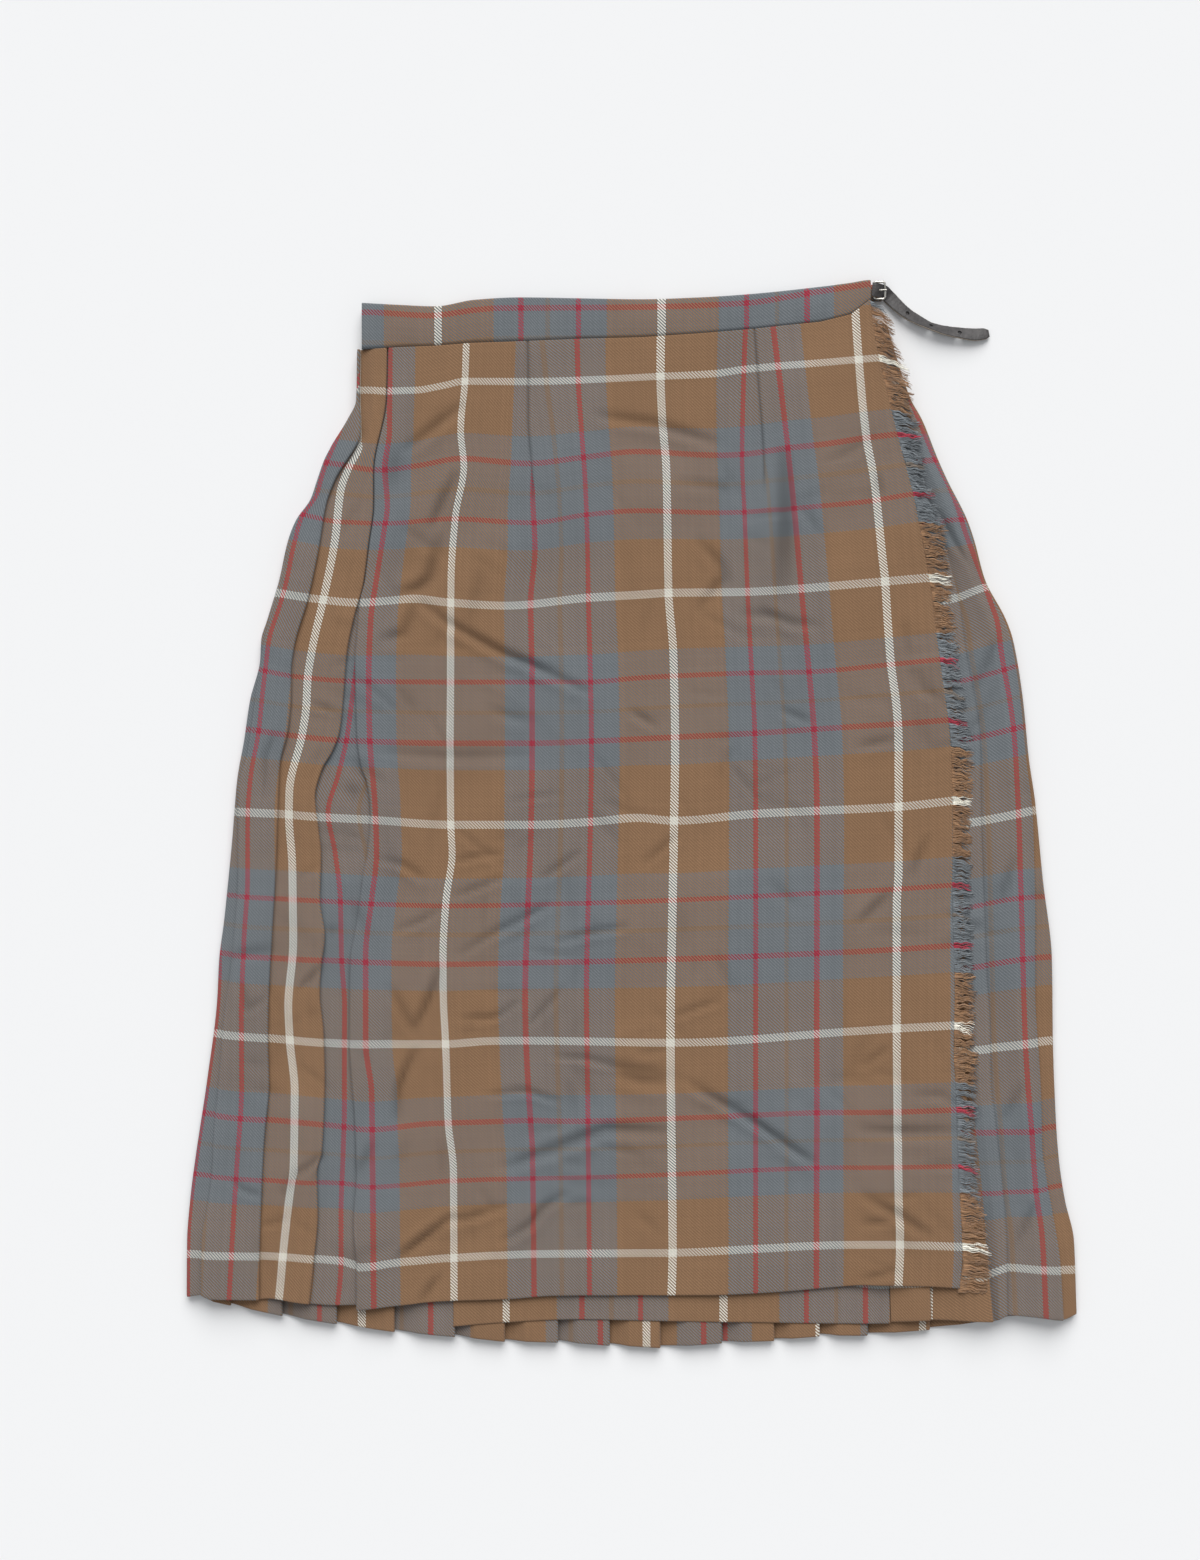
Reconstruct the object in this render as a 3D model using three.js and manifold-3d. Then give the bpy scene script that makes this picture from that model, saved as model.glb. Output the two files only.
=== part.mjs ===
// A wrap-over kilt skirt of tartan wool twill, fastened and laid flat on a table with its front up.
// Units are millimetres. +X runs to the fringed edge of the over apron, +Y to the waist, +Z up
// from the table. The origin is under the middle of the skirt, on the table.
//
// Every cloth piece is a wall round a middle line. A section across the skirt gives that line its
// turns, so a pleat is the real fold of one cloth: over, back under itself and over again. The
// layers lie on each other at numbered levels, level 0 being the layer on the table.

import * as THREE from "three";
import Module from "manifold-3d";

const wasm = await Module();
wasm.setup();

// ---- driving dimensions ---------------------------------------------------------------------

const CLOTH = 1.2; // the wool twill's wall
const LAYER_GAP = 0.4; // air between two layers that lie on each other
const SEAM = 0.4; // air between two pieces along a seam
const FOLD_CLEARANCE = 1.2; // from a hidden fold to the strip that rises over it
const FOLD_LEAD = 1.0; // from a fold's edge to where the next strip starts to rise
const SIDE_WRAP = 0.4; // share of the first back pleat that the side pieces wrap under
const FRONT_DEPTH = { share: 0.35, most: 10.5 }; // how deep a side pleat turns under itself
const BACK_DEPTH = { share: 0.55, most: 20 }; // how deep a back pleat turns under itself
const APRON_TURN = 9; // cloth turned under at the over apron's left fold
const DART_HALF = 5; // half the width of the hollow along a waist dart
const DART_SINK = 0.3; // depth of that hollow at the waist seam
const FRINGE = 1.8; // thickness of the fringe

const LEATHER = 1.6; // the strap's thickness
const STRAP_WIDTH = 8.6;
const STRAP_TIP_WIDTH = 4.5;
const STRAP_HOLE = 1.3; // radius of a punched hole
const BUCKLE = { x: 155, y: 327.2, z: 7.4, length: 8.4, width: 12, bar: 1.4, corner: 1.5 };
const PRONG_RADIUS = 0.55;

// Where each layer lies: its middle height over the table.
const level = (n) => CLOTH / 2 + n * (CLOTH + LAYER_GAP);
const BACK_LOW = 0;
const FRONT_LOW = 3;
const TOP = 6;

// ---- tables ---------------------------------------------------------------------------------

const rowsOf = (columns, rows) =>
  rows.map((row) => Object.fromEntries(columns.map((name, i) => [name, row[i]])));

// One row per section across the skirt, from the waist seam to the hem. left and right are the
// side folds. turn is where the cloth has come up over the left side. f1 and f2 are the fold
// edges of the left pleats, f3 is the over apron's left fold, edge its fringed edge and tip the
// fringe's reach. gu ends the under apron, and g0, g1 and g2 are the right pleats' fold edges.
const SECTIONS = rowsOf(
  ["y", "left", "turn", "f1", "f2", "f3", "edge", "tip", "gu", "g0", "g1", "g2", "right"],
  [
    [295, -171, -169, -164.5, -152, -151, 148.8, 157, 124, 137, 146, 153.5, 160],
    [281, -171.4, -169.4, -165, -152, -151, 155.3, 172, 129, 144, 153, 161, 168],
    [260, -172, -169.6, -165, -152.5, -151.5, 160, 174.5, 133, 150, 159, 167, 174],
    [228, -188.5, -185, -173, -159, -158, 168, 181.5, 140, 160, 171.5, 181.5, 189.5],
    [197, -200.5, -197.5, -189, -160, -159, 176, 188, 146, 170, 185, 196.5, 204],
    [160, -217, -213, -196, -164.5, -163.5, 183, 196, 152, 179.5, 197.5, 210.5, 217],
    [134, -224, -220, -201.5, -169.5, -168.5, 187.5, 200, 155.5, 184, 204, 221, 227],
    [103, -231.5, -228, -210, -176.5, -172, 191, 203.5, 159.5, 188, 208.5, 234.5, 240],
    [72, -238, -234.5, -211, -179.5, -171.5, 195.5, 207.5, 163, 193, 214, 240, 245],
    [34, -244, -240, -218, -189.5, -169, 199.5, 212.5, 166.5, 197.5, 218, 246.5, 250.5],
    [-3, -249, -244.5, -220, -195, -163, 200, 211.5, 169, 199, 218.5, 250.5, 254.5],
    [-85, -257, -248.5, -224, -192, -174.5, 201, 212.5, 174.5, 202, 221, 252, 262.5],
    [-128, -260, -254, -226, -192.5, -175.5, 201, 213.5, 177.5, 204.5, 223.5, 252.5, 263.5],
    [-178, -267, -257.5, -227, -191.5, -173, 202, 214.5, 180.5, 209.5, 226, 255.5, 265],
    [-228, -274, -261.5, -230, -196, -171.5, 204, 217, 184, 215, 231, 259.5, 269.5],
    [-266, -277.5, -268, -231.5, -197, -172.5, 205.5, 221.5, 185.5, 221, 234, 265.5, 277],
    [-302, -277.5, -268, -232, -200.5, -171.5, 204.5, 217.5, 187, 225.5, 235, 270, 277.5],
  ],
);

// The back pleats, one row per fold edge: how far across the back it lies, and its hem.
const BACK_PLEATS = rowsOf(
  ["share", "hem"],
  [
    [0.05, -307], [0.108, -313.5], [0.169, -318.5], [0.234, -323.5], [0.302, -326.5],
    [0.358, -329.5], [0.418, -330], [0.476, -332], [0.533, -333.4], [0.602, -330.5],
    [0.661, -329], [0.712, -326], [0.766, -325.5], [0.836, -322], [0.907, -315.5],
  ],
);
const BACK_HEM_ENDS = { left: -301.5, right: -312 };

// The waistband, one row per section along it: its top edge and its seam to the skirt.
const WAISTBAND = rowsOf(
  ["x", "top", "seam"],
  [
    [-168, 319.4, 290.3], [-144.5, 318.1, 291.6], [-122.5, 317.2, 292.5],
    [-97.5, 321.3, 294.4], [-69.5, 322.8, 295.3], [-32, 322.2, 296.9],
    [5.5, 321.6, 297.8], [43, 322.8, 300.3], [80.5, 325.3, 303.4],
    [118, 329.1, 307.2], [137, 331.6, 311.9], [149.3, 333.4, 321.6],
  ],
);

// Hem lines, as [x, y] points from left to right.
const LEFT_HEM = [[-278, -301.5], [-232, -303], [-200, -304.5], [-160, -306]];
const APRON_HEM = [
  [-173, -309.7], [-145, -306.3], [-119, -303.4], [-79, -302.2], [-45, -299.7],
  [44, -299.7], [87, -298.4], [125, -294.7], [147, -292.8], [205, -294.7],
];
const UNDER_HEM = [[-111, -319.7], [-79, -317.2], [-35, -315.3], [78, -317], [185, -317.2]];
const RIGHT_HEM = [
  [160, -317.2], [187, -315.3], [225.5, -316.6], [235, -312.2], [270, -315.3], [278, -312.2],
];

// The waist darts of the over apron: the foot of each at the waist seam, and its tip.
const DARTS = rowsOf(
  ["foot_x", "foot_y", "tip_x", "tip_y"],
  [
    [-64.5, 296, -61.3, 203],
    [76.3, 304, 83, 209],
  ],
);

// The tuft at the top of the fringe, above the sections' own rows.
const TUFT = rowsOf(["y", "tip"], [[321.5, 157], [312, 161.5], [302, 164.5]]);

// Broad swells of the front layers, which all lift together: centre, half sizes along and across,
// the turn of the long side from +X in degrees, and the height.
const SWELLS = rowsOf(
  ["x", "y", "along", "across", "turn", "height"],
  [
    [-60, 80, 120, 45, -25, 1.1],
    [95, 170, 90, 30, 80, 0.9],
    [40, -60, 110, 50, 15, 1.0],
    [120, -190, 90, 40, -30, 1.2],
    [-120, -150, 110, 35, 70, 1.1],
    [-235, -60, 160, 14, 84, 1.3],
    [-205, -190, 90, 12, 95, 1.0],
    [236, -90, 150, 13, 96, 1.2],
  ],
);

// The strap's middle line, from its end at the waistband to its tip. roll lifts the edge that is
// nearer the skirt. Past the buckle the strap stands on its lower edge, so z is left out.
const STRAP = rowsOf(
  ["x", "y", "roll", "z"],
  [
    [150.2, 327.5, 0, 9.6], [152.6, 327.3, 0, 9.4], [157.2, 327, 2, 5.2],
    [161.5, 324, 12], [166.6, 318.8, 22], [172.8, 313.4, 32], [180, 309.1, 42],
    [187.5, 305.4, 52], [196.3, 302.8, 44], [205.6, 301.3, 34], [215, 300.4, 22],
    [221.5, 301, 14], [224.3, 301.4, 12],
  ],
);
const STRAP_HOLES = [5, 7, 9]; // the stations of STRAP that hold a punched hole

// ---- colours --------------------------------------------------------------------------------

const WOOL = { color: 0x82756e, roughness: 0.95, metalness: 0 };
const FRINGE_WOOL = { color: 0x7a6c60, roughness: 1, metalness: 0 };
const BLACK_LEATHER = { color: 0x3b3a3e, roughness: 0.6, metalness: 0 };
const NICKEL = { color: 0xb9b7b2, roughness: 0.3, metalness: 1 };

// ---- helpers --------------------------------------------------------------------------------

const lerp = THREE.MathUtils.lerp;

// The height of a line of [x, y] points at x, level past its ends.
function along(points, x) {
  if (x <= points[0][0]) return points[0][1];
  for (let i = 1; i < points.length; i++) {
    const [x0, y0] = points[i - 1];
    const [x1, y1] = points[i];
    if (x <= x1) return lerp(y0, y1, (x - x0) / (x1 - x0));
  }
  return points.at(-1)[1];
}

const waistSeam = WAISTBAND.map((row) => [row.x, row.seam]);
const SIDE_TOP = 306; // the side pieces end here beside the waistband's right end
const seamAt = (x) => along(waistSeam, x) - SEAM;
const sideTopAt = (x) => Math.min(seamAt(x), SIDE_TOP);

// How far the front layers are lifted at a point.
function swell(x, y) {
  let lift = 0;
  for (const bump of SWELLS) {
    const turn = THREE.MathUtils.degToRad(bump.turn);
    const a = ((x - bump.x) * Math.cos(turn) + (y - bump.y) * Math.sin(turn)) / bump.along;
    const b = ((y - bump.y) * Math.cos(turn) - (x - bump.x) * Math.sin(turn)) / bump.across;
    lift += bump.height * Math.exp(-2 * (a * a + b * b));
  }
  return lift;
}

// A line of points moved sideways by d in the plane of `axis` (0 for X, 1 for Y) and Z, with
// mitred corners.
function shifted(line, d, axis) {
  const normal = (p, q) => {
    const da = q[axis] - p[axis];
    const dz = q[2] - p[2];
    const size = Math.hypot(da, dz);
    return [-dz / size, da / size];
  };
  return line.map((p, i) => {
    const before = i > 0 ? normal(line[i - 1], p) : normal(p, line[i + 1]);
    const after = i < line.length - 1 ? normal(p, line[i + 1]) : before;
    const sum = [before[0] + after[0], before[1] + after[1]];
    const scale = (2 * d) / (sum[0] * sum[0] + sum[1] * sum[1]);
    const moved = [...p];
    moved[axis] += sum[0] * scale;
    moved[2] += sum[1] * scale;
    return moved;
  });
}

// Triangles between two grids of points with the same shape, one above the other, closed round
// the four edges.
function closedGrid(upper, lower) {
  const rows = upper.length;
  const columns = upper[0].length;
  const at = (side, r, c) => (side * rows + r) * columns + c;
  const faces = [];
  const quad = (a, b, c, d) => faces.push(a, b, c, a, c, d);
  for (let r = 0; r < rows - 1; r++) {
    for (let c = 0; c < columns - 1; c++) {
      quad(at(0, r, c), at(0, r + 1, c), at(0, r + 1, c + 1), at(0, r, c + 1));
      quad(at(1, r, c), at(1, r, c + 1), at(1, r + 1, c + 1), at(1, r + 1, c));
    }
    const end = columns - 1;
    quad(at(0, r, 0), at(1, r, 0), at(1, r + 1, 0), at(0, r + 1, 0));
    quad(at(0, r, end), at(0, r + 1, end), at(1, r + 1, end), at(1, r, end));
  }
  for (let c = 0; c < columns - 1; c++) {
    const end = rows - 1;
    quad(at(0, 0, c), at(0, 0, c + 1), at(1, 0, c + 1), at(1, 0, c));
    quad(at(0, end, c), at(1, end, c), at(1, end, c + 1), at(0, end, c + 1));
  }
  const geometry = new THREE.BufferGeometry();
  const points = [...upper, ...lower].flat(2);
  geometry.setAttribute("position", new THREE.Float32BufferAttribute(points, 3));
  geometry.setIndex(faces);
  return geometry;
}

// A wall of cloth round middle lines that follow one another down or along the piece.
const wall = (lines, { thickness = CLOTH, axis = 0 } = {}) =>
  closedGrid(
    lines.map((line) => shifted(line, thickness / 2, axis)),
    lines.map((line) => shifted(line, -thickness / 2, axis)),
  );

// The middle points [x, z] of one section through knife pleats. Each strip runs right over the
// next one to its fold edge, turns back under itself by its depth, and goes on as that next strip.
// low is the level of the lowest of the three layers that a fold makes.
function knifePleats(start, folds, depth, low) {
  const points = [[start, level(low)]];
  let before = start;
  for (const fold of folds) {
    const turnUnder = Math.min(depth.most, depth.share * (fold - before));
    const outer = fold - CLOTH / 2;
    const inner = outer - turnUnder;
    points.push([before + FOLD_LEAD, level(low)]);
    points.push([inner - FOLD_CLEARANCE, level(low + 2)]);
    points.push([outer, level(low + 2)]);
    points.push([outer, level(low + 1)]);
    points.push([inner, level(low + 1)]);
    points.push([inner, level(low)]);
    before = fold;
  }
  points.push([before + FOLD_LEAD, level(low)]);
  return points;
}

// Lines for a piece whose sections are given: top and hem bend its first and last line.
function draped(sections, sectionPoints, topAt, hemAt, lift = swell) {
  const last = sections.length - 1;
  return sections.map((section, i) =>
    sectionPoints(section).map(([x, z]) => {
      const y = i === 0 ? topAt(x) : i === last ? hemAt(x) : section.y;
      return [x, y, z + lift(x, y)];
    }),
  );
}

const flat = () => 0;
const everyOther = SECTIONS.filter((_, i) => i % 2 === 0);
const wrapOf = (s) => SIDE_WRAP * BACK_PLEATS[0].share * (s.right - s.left);

// Where the back ends at each side. The side pieces follow the straight stretches between its
// sections.
const downOf = (s, x) => -(s === SECTIONS[0] ? sideTopAt(x) : s.y);
const endLine = (xOf) => everyOther.map((s) => [downOf(s, xOf(s)), xOf(s)]);
const backLeft = endLine((s) => s.left + wrapOf(s));
const backRight = endLine((s) => s.right - wrapOf(s));

function named(name, geometry, finish) {
  const mesh = new THREE.Mesh(geometry, new THREE.MeshStandardMaterial(finish));
  mesh.name = name;
  return mesh;
}

// ---- the pleated section --------------------------------------------------------------------

function pleatsBack() {
  const across = (s) => {
    const wrap = wrapOf(s);
    const folds = BACK_PLEATS.map((pleat) => lerp(s.left, s.right, pleat.share));
    const points = knifePleats(s.left + wrap, folds, BACK_DEPTH, BACK_LOW);
    points.push([s.right - wrap, level(BACK_LOW)]);
    return points;
  };
  const hem = SECTIONS.at(-1);
  const hemLine = [
    [hem.left, BACK_HEM_ENDS.left],
    ...BACK_PLEATS.map((pleat) => [lerp(hem.left, hem.right, pleat.share), pleat.hem]),
    [hem.right, BACK_HEM_ENDS.right],
  ];
  return wall(draped(everyOther, across, sideTopAt, (x) => along(hemLine, x), flat));
}

// The left side: from under the back, up round the side fold and over two pleats to the valley
// that runs under the over apron.
function pleatsLeft() {
  const across = (s) => {
    const side = s.left + CLOTH / 2;
    const pleated = knifePleats(s.turn, [s.f1, s.f2], FRONT_DEPTH, FRONT_LOW);
    return [
      [along(backLeft, downOf(s, s.left)) - SEAM, level(BACK_LOW)],
      [side, level(BACK_LOW)],
      [side, level(FRONT_LOW)],
      [s.turn, level(FRONT_LOW + 2)],
      ...pleated.slice(3),
      [s.f3 + APRON_TURN, level(FRONT_LOW)],
    ];
  };
  return wall(draped(SECTIONS, across, sideTopAt, (x) => along(LEFT_HEM, x)));
}

// The right side: from the under apron over three pleats, down round the side fold and under.
function pleatsRight() {
  const across = (s) => {
    const side = s.right - CLOTH / 2;
    const folds = [s.gu, s.g0, s.g1, s.g2];
    return [
      ...knifePleats(underEnd(s), folds, FRONT_DEPTH, FRONT_LOW),
      [side, level(FRONT_LOW)],
      [side, level(BACK_LOW)],
      [along(backRight, downOf(s, s.right)) + SEAM, level(BACK_LOW)],
    ];
  };
  return wall(draped(SECTIONS, across, sideTopAt, (x) => along(RIGHT_HEM, x)));
}

// ---- the aprons -----------------------------------------------------------------------------

const UNDER_REACH = 25; // the under apron ends this far before the first right fold
const UNDER_LEFT = { top: -125, hem: -111 };
const UNDER_LIFT = 0.5; // the under apron follows only part of the swells above it
const underEnd = (s) => s.gu - UNDER_REACH;

function underApron() {
  const first = SECTIONS[0].y;
  const last = SECTIONS.at(-1).y;
  const across = (s) => {
    const left = lerp(UNDER_LEFT.top, UNDER_LEFT.hem, (first - s.y) / (first - last));
    const right = underEnd(s) - SEAM;
    const steps = 8;
    return Array.from({ length: steps + 1 }, (_, i) => [lerp(left, right, i / steps), level(FRONT_LOW)]);
  };
  const lift = (x, y) => UNDER_LIFT * swell(x, y);
  return wall(draped(everyOther, across, seamAt, (x) => along(UNDER_HEM, x), lift));
}

// A dart's x and the depth of its hollow at the height y.
function dartAt(dart, y) {
  const down = THREE.MathUtils.clamp((dart.foot_y - y) / (dart.foot_y - dart.tip_y), 0, 1);
  return { x: lerp(dart.foot_x, dart.tip_x, down), sink: DART_SINK * (1 - down) };
}

function overApron() {
  const turned = FRONT_LOW + 1;
  const rise = { from: 60, to: 27 }; // before the first right fold, the apron climbs the pleats
  const settle = { from: APRON_TURN + 2, to: APRON_TURN + 11 }; // it comes down past its own turn
  const across = (s) => {
    const levels = [
      [s.f3 + settle.from, level(turned + 1)],
      [s.f3 + settle.to, level(turned)],
      [s.gu - rise.from, level(turned)],
      [s.gu - rise.to, level(TOP)],
    ];
    const [first, second] = DARTS.map((dart) => dartAt(dart, s.y));
    const free = s.f3 + settle.to;
    const climbed = s.gu - rise.to;
    const xs = [
      s.f3 + settle.from,
      free,
      lerp(free, first.x - DART_HALF, 0.5),
      first.x - DART_HALF,
      first.x,
      first.x + DART_HALF,
      ...[0.25, 0.5, 0.75].map((u) => lerp(first.x + DART_HALF, second.x - DART_HALF, u)),
      second.x - DART_HALF,
      second.x,
      second.x + DART_HALF,
      climbed,
      lerp(climbed, s.edge, 0.4),
      lerp(climbed, s.edge, 0.77),
      s.edge,
    ];
    const sunk = (x) => (x === first.x ? first.sink : x === second.x ? second.sink : 0);
    const fold = s.f3 + CLOTH / 2;
    return [
      [s.f3 + APRON_TURN, level(turned)],
      [fold, level(turned)],
      [fold, level(turned + 1)],
      ...xs.map((x) => [x, along(levels, x) - sunk(x)]),
    ];
  };
  return wall(draped(SECTIONS, across, seamAt, (x) => along(APRON_HEM, x)));
}

// The fringe is the over apron's own unravelled edge. This solid is its reach.
function fringe() {
  const z = level(TOP) + (FRINGE - CLOTH) / 2;
  const edges = SECTIONS.map((s) => [-s.y, s.edge]);
  const seamEnd = [-WAISTBAND.at(-1).seam, SECTIONS[0].edge];
  const edgeAt = (y) => along([seamEnd, ...edges.slice(1)], -y);
  const hemDrop = 4; // the last strands hang this far past the hem
  const below = SECTIONS.slice(1, -1).map((s) => ({ y: s.y, tip: s.tip }));
  const last = { y: APRON_HEM.at(-1)[1] - hemDrop, tip: SECTIONS.at(-1).tip };
  const rows = [...TUFT, ...below, last];
  const lines = rows.map(({ y, tip }) =>
    [0, 0.5, 1].map((u) => {
      const x = lerp(edgeAt(y) + SEAM, tip, u);
      return [x, y, z + swell(x, y)];
    }),
  );
  return wall(lines, { thickness: FRINGE });
}

// ---- the waistband --------------------------------------------------------------------------

// A strip folded along its top edge: its inner layer, the fold and its outer layer.
function waistband(from, to, low, { inset = 0, lift = flat } = {}) {
  const table = WAISTBAND.filter((row) => row.x > from && row.x < to);
  const tops = WAISTBAND.map((row) => [row.x, row.top]);
  const stations = [from, ...table.map((row) => row.x), to];
  const lines = stations.map((x) => {
    const top = along(tops, x) - CLOTH / 2 - inset;
    const seam = along(waistSeam, x);
    return [
      [x, seam, level(low) + lift(x)],
      [x, top, level(low) + lift(x)],
      [x, top, level(low + 1) + lift(x)],
      [x, seam, level(low + 1) + lift(x)],
    ];
  });
  return wall(lines, { axis: 1 });
}

const BAND = { left: -168, right: 149.3, side: 157, under: -125 };
const HIDDEN_INSET = 1.5; // the hidden bands end this far below the front one's top edge
const climbsPleats = (x) => along([[60, 0], [118, level(1) - level(0)]], x);

// ---- strap and buckle -----------------------------------------------------------------------

// The strap's cross directions at each station: along it, across it and out of its face.
function strapFrames() {
  const points = STRAP.map((row) => new THREE.Vector3(row.x, row.y, 0));
  return STRAP.map((row, i) => {
    const before = points[Math.max(i - 1, 0)];
    const after = points[Math.min(i + 1, points.length - 1)];
    const ahead = after.clone().sub(before).normalize();
    const skirtward = new THREE.Vector3(ahead.y, -ahead.x, 0);
    const roll = THREE.MathUtils.degToRad(row.roll);
    const up = new THREE.Vector3(0, 0, 1);
    const acrossIt = skirtward.clone().multiplyScalar(Math.cos(roll)).addScaledVector(up, Math.sin(roll));
    const out = acrossIt.clone().cross(ahead).negate();
    const width = i === STRAP.length - 1 ? STRAP_TIP_WIDTH : STRAP_WIDTH;
    const onEdge = (width / 2) * Math.sin(roll) + (LEATHER / 2) * Math.cos(roll) + SEAM / 2;
    const centre = points[i].clone().setZ(row.z ?? onEdge);
    return { centre, ahead, acrossIt, out, width };
  });
}

function solidOf(geometry) {
  const vertProperties = geometry.getAttribute("position").array;
  const triVerts = new Uint32Array(geometry.getIndex().array);
  return new wasm.Manifold(new wasm.Mesh({ numProp: 3, vertProperties, triVerts }));
}

function geometryOf(solid) {
  const { vertProperties, triVerts } = solid.getMesh();
  const geometry = new THREE.BufferGeometry();
  geometry.setAttribute("position", new THREE.BufferAttribute(vertProperties, 3));
  geometry.setIndex(new THREE.BufferAttribute(triVerts, 1));
  return geometry;
}

// An eight-sided rod between two points, as an indexed closed geometry.
function rod(from, to, radius) {
  const ahead = to.clone().sub(from).normalize();
  const side = new THREE.Vector3(0, 1, 0).cross(ahead).normalize();
  const other = ahead.clone().cross(side);
  const ring = (centre) =>
    Array.from({ length: 8 }, (_, i) => {
      const a = (i * Math.PI) / 4;
      const p = centre.clone().addScaledVector(side, radius * Math.cos(a));
      return p.addScaledVector(other, radius * Math.sin(a)).toArray();
    });
  const points = [...ring(from), ...ring(to), from.toArray(), to.toArray()];
  const faces = [];
  for (let i = 0; i < 8; i++) {
    const j = (i + 1) % 8;
    faces.push(i, j, j + 8, i, j + 8, i + 8, 16, j, i, 17, i + 8, j + 8);
  }
  const geometry = new THREE.BufferGeometry();
  geometry.setAttribute("position", new THREE.Float32BufferAttribute(points.flat(), 3));
  geometry.setIndex(faces);
  return geometry;
}

function strap(frames) {
  const side = (sign) =>
    frames.map(({ centre, acrossIt, out, width }) =>
      [-1, 1].map((edge) => {
        const p = centre.clone().addScaledVector(acrossIt, (edge * width) / 2);
        return p.addScaledVector(out, (sign * LEATHER) / 2).toArray();
      }),
    );
  let solid = solidOf(closedGrid(side(1), side(-1)));
  if (solid.volume() < 0) solid = solidOf(closedGrid(side(-1), side(1)));
  for (const station of STRAP_HOLES) {
    const { centre, out } = frames[station];
    const from = centre.clone().addScaledVector(out, -LEATHER);
    const to = centre.clone().addScaledVector(out, LEATHER);
    solid = solid.subtract(solidOf(rod(from, to, STRAP_HOLE)));
  }
  const [start, end] = prongLine();
  solid = solid.subtract(solidOf(rod(start, end, PRONG_RADIUS + SEAM)));
  return geometryOf(solid);
}

// The buckle's frame lies flat. The strap comes in over its left bar and leaves under its right.
function buckleFrame() {
  const outline = (length, width, corner) => {
    const path = new THREE.Path();
    const [l, w] = [length / 2, width / 2];
    path.moveTo(-l + corner, -w);
    path.lineTo(l - corner, -w);
    path.absarc(l - corner, -w + corner, corner, -Math.PI / 2, 0);
    path.absarc(l - corner, w - corner, corner, 0, Math.PI / 2);
    path.absarc(-l + corner, w - corner, corner, Math.PI / 2, Math.PI);
    path.absarc(-l + corner, -w + corner, corner, Math.PI, 1.5 * Math.PI);
    return path;
  };
  const { length, width, bar, corner } = BUCKLE;
  const shape = new THREE.Shape(outline(length, width, corner).getPoints(3));
  const inner = outline(length - 2 * bar, width - 2 * bar, corner / 3);
  shape.holes.push(new THREE.Path(inner.getPoints(2)));
  const geometry = new THREE.ExtrudeGeometry(shape, { depth: bar, bevelEnabled: false, curveSegments: 3 });
  geometry.translate(BUCKLE.x, BUCKLE.y, BUCKLE.z - bar / 2);
  return geometry;
}

// The prong starts beside the left bar, comes up through the strap and rests on the right bar.
function prongLine() {
  const half = BUCKLE.length / 2;
  const start = new THREE.Vector3(BUCKLE.x - half + BUCKLE.bar + SEAM, BUCKLE.y, BUCKLE.z);
  const rest = BUCKLE.z + BUCKLE.bar / 2 + PRONG_RADIUS + SEAM;
  const end = new THREE.Vector3(BUCKLE.x + half + SEAM, BUCKLE.y, rest + SEAM);
  return [start, end];
}

// ---- the skirt ------------------------------------------------------------------------------

const skirt = new THREE.Group();
skirt.add(
  named("pleats_back", pleatsBack(), WOOL),
  named("pleats_left", pleatsLeft(), WOOL),
  named("pleats_right", pleatsRight(), WOOL),
  named("under_apron", underApron(), WOOL),
  named("over_apron", overApron(), WOOL),
  named("apron_fringe", fringe(), FRINGE_WOOL),
  named("waistband_back", waistband(BAND.left, BAND.side, 0, { inset: HIDDEN_INSET }), WOOL),
  named("waistband_under", waistband(BAND.under, BAND.right, 2, { inset: HIDDEN_INSET }), WOOL),
  named("waistband_front", waistband(BAND.left, BAND.right, 4, { lift: climbsPleats }), WOOL),
  named("strap", strap(strapFrames()), BLACK_LEATHER),
  named("buckle_frame", buckleFrame(), NICKEL),
  named("buckle_prong", rod(...prongLine(), PRONG_RADIUS), NICKEL),
);

export default skirt;
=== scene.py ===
"""A wrap-over kilt skirt of tartan wool twill, fastened and laid flat with its front up.

Sizes are millimetres until a mesh is made. +X runs to the fringed edge, +Y to the waist, +Z up.
The long tables are in squares of a measuring grid, 0.625 mm each. Its rows count down from the
waist and its columns count to the right.
"""

import math
import random

import bmesh
import bpy
import numpy as np
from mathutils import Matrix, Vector


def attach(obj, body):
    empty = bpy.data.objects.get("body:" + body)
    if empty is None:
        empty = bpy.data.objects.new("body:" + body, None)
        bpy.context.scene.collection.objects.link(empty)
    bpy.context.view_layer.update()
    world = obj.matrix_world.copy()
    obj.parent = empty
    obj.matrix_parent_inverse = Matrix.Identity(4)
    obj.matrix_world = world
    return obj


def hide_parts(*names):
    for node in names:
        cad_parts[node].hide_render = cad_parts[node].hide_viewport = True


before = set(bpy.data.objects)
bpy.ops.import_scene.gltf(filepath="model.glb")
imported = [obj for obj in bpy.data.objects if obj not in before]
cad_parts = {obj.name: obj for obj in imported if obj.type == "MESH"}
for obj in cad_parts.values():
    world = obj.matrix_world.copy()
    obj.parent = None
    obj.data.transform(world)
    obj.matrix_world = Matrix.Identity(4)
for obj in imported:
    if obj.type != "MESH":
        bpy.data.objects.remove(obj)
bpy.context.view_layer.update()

# ---- sizes ------------------------------------------------------------------------------------

SQUARE = 0.625
COLUMN_0, ROW_0 = 631.0, 814.5  # the grid square at the frame's origin

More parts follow.
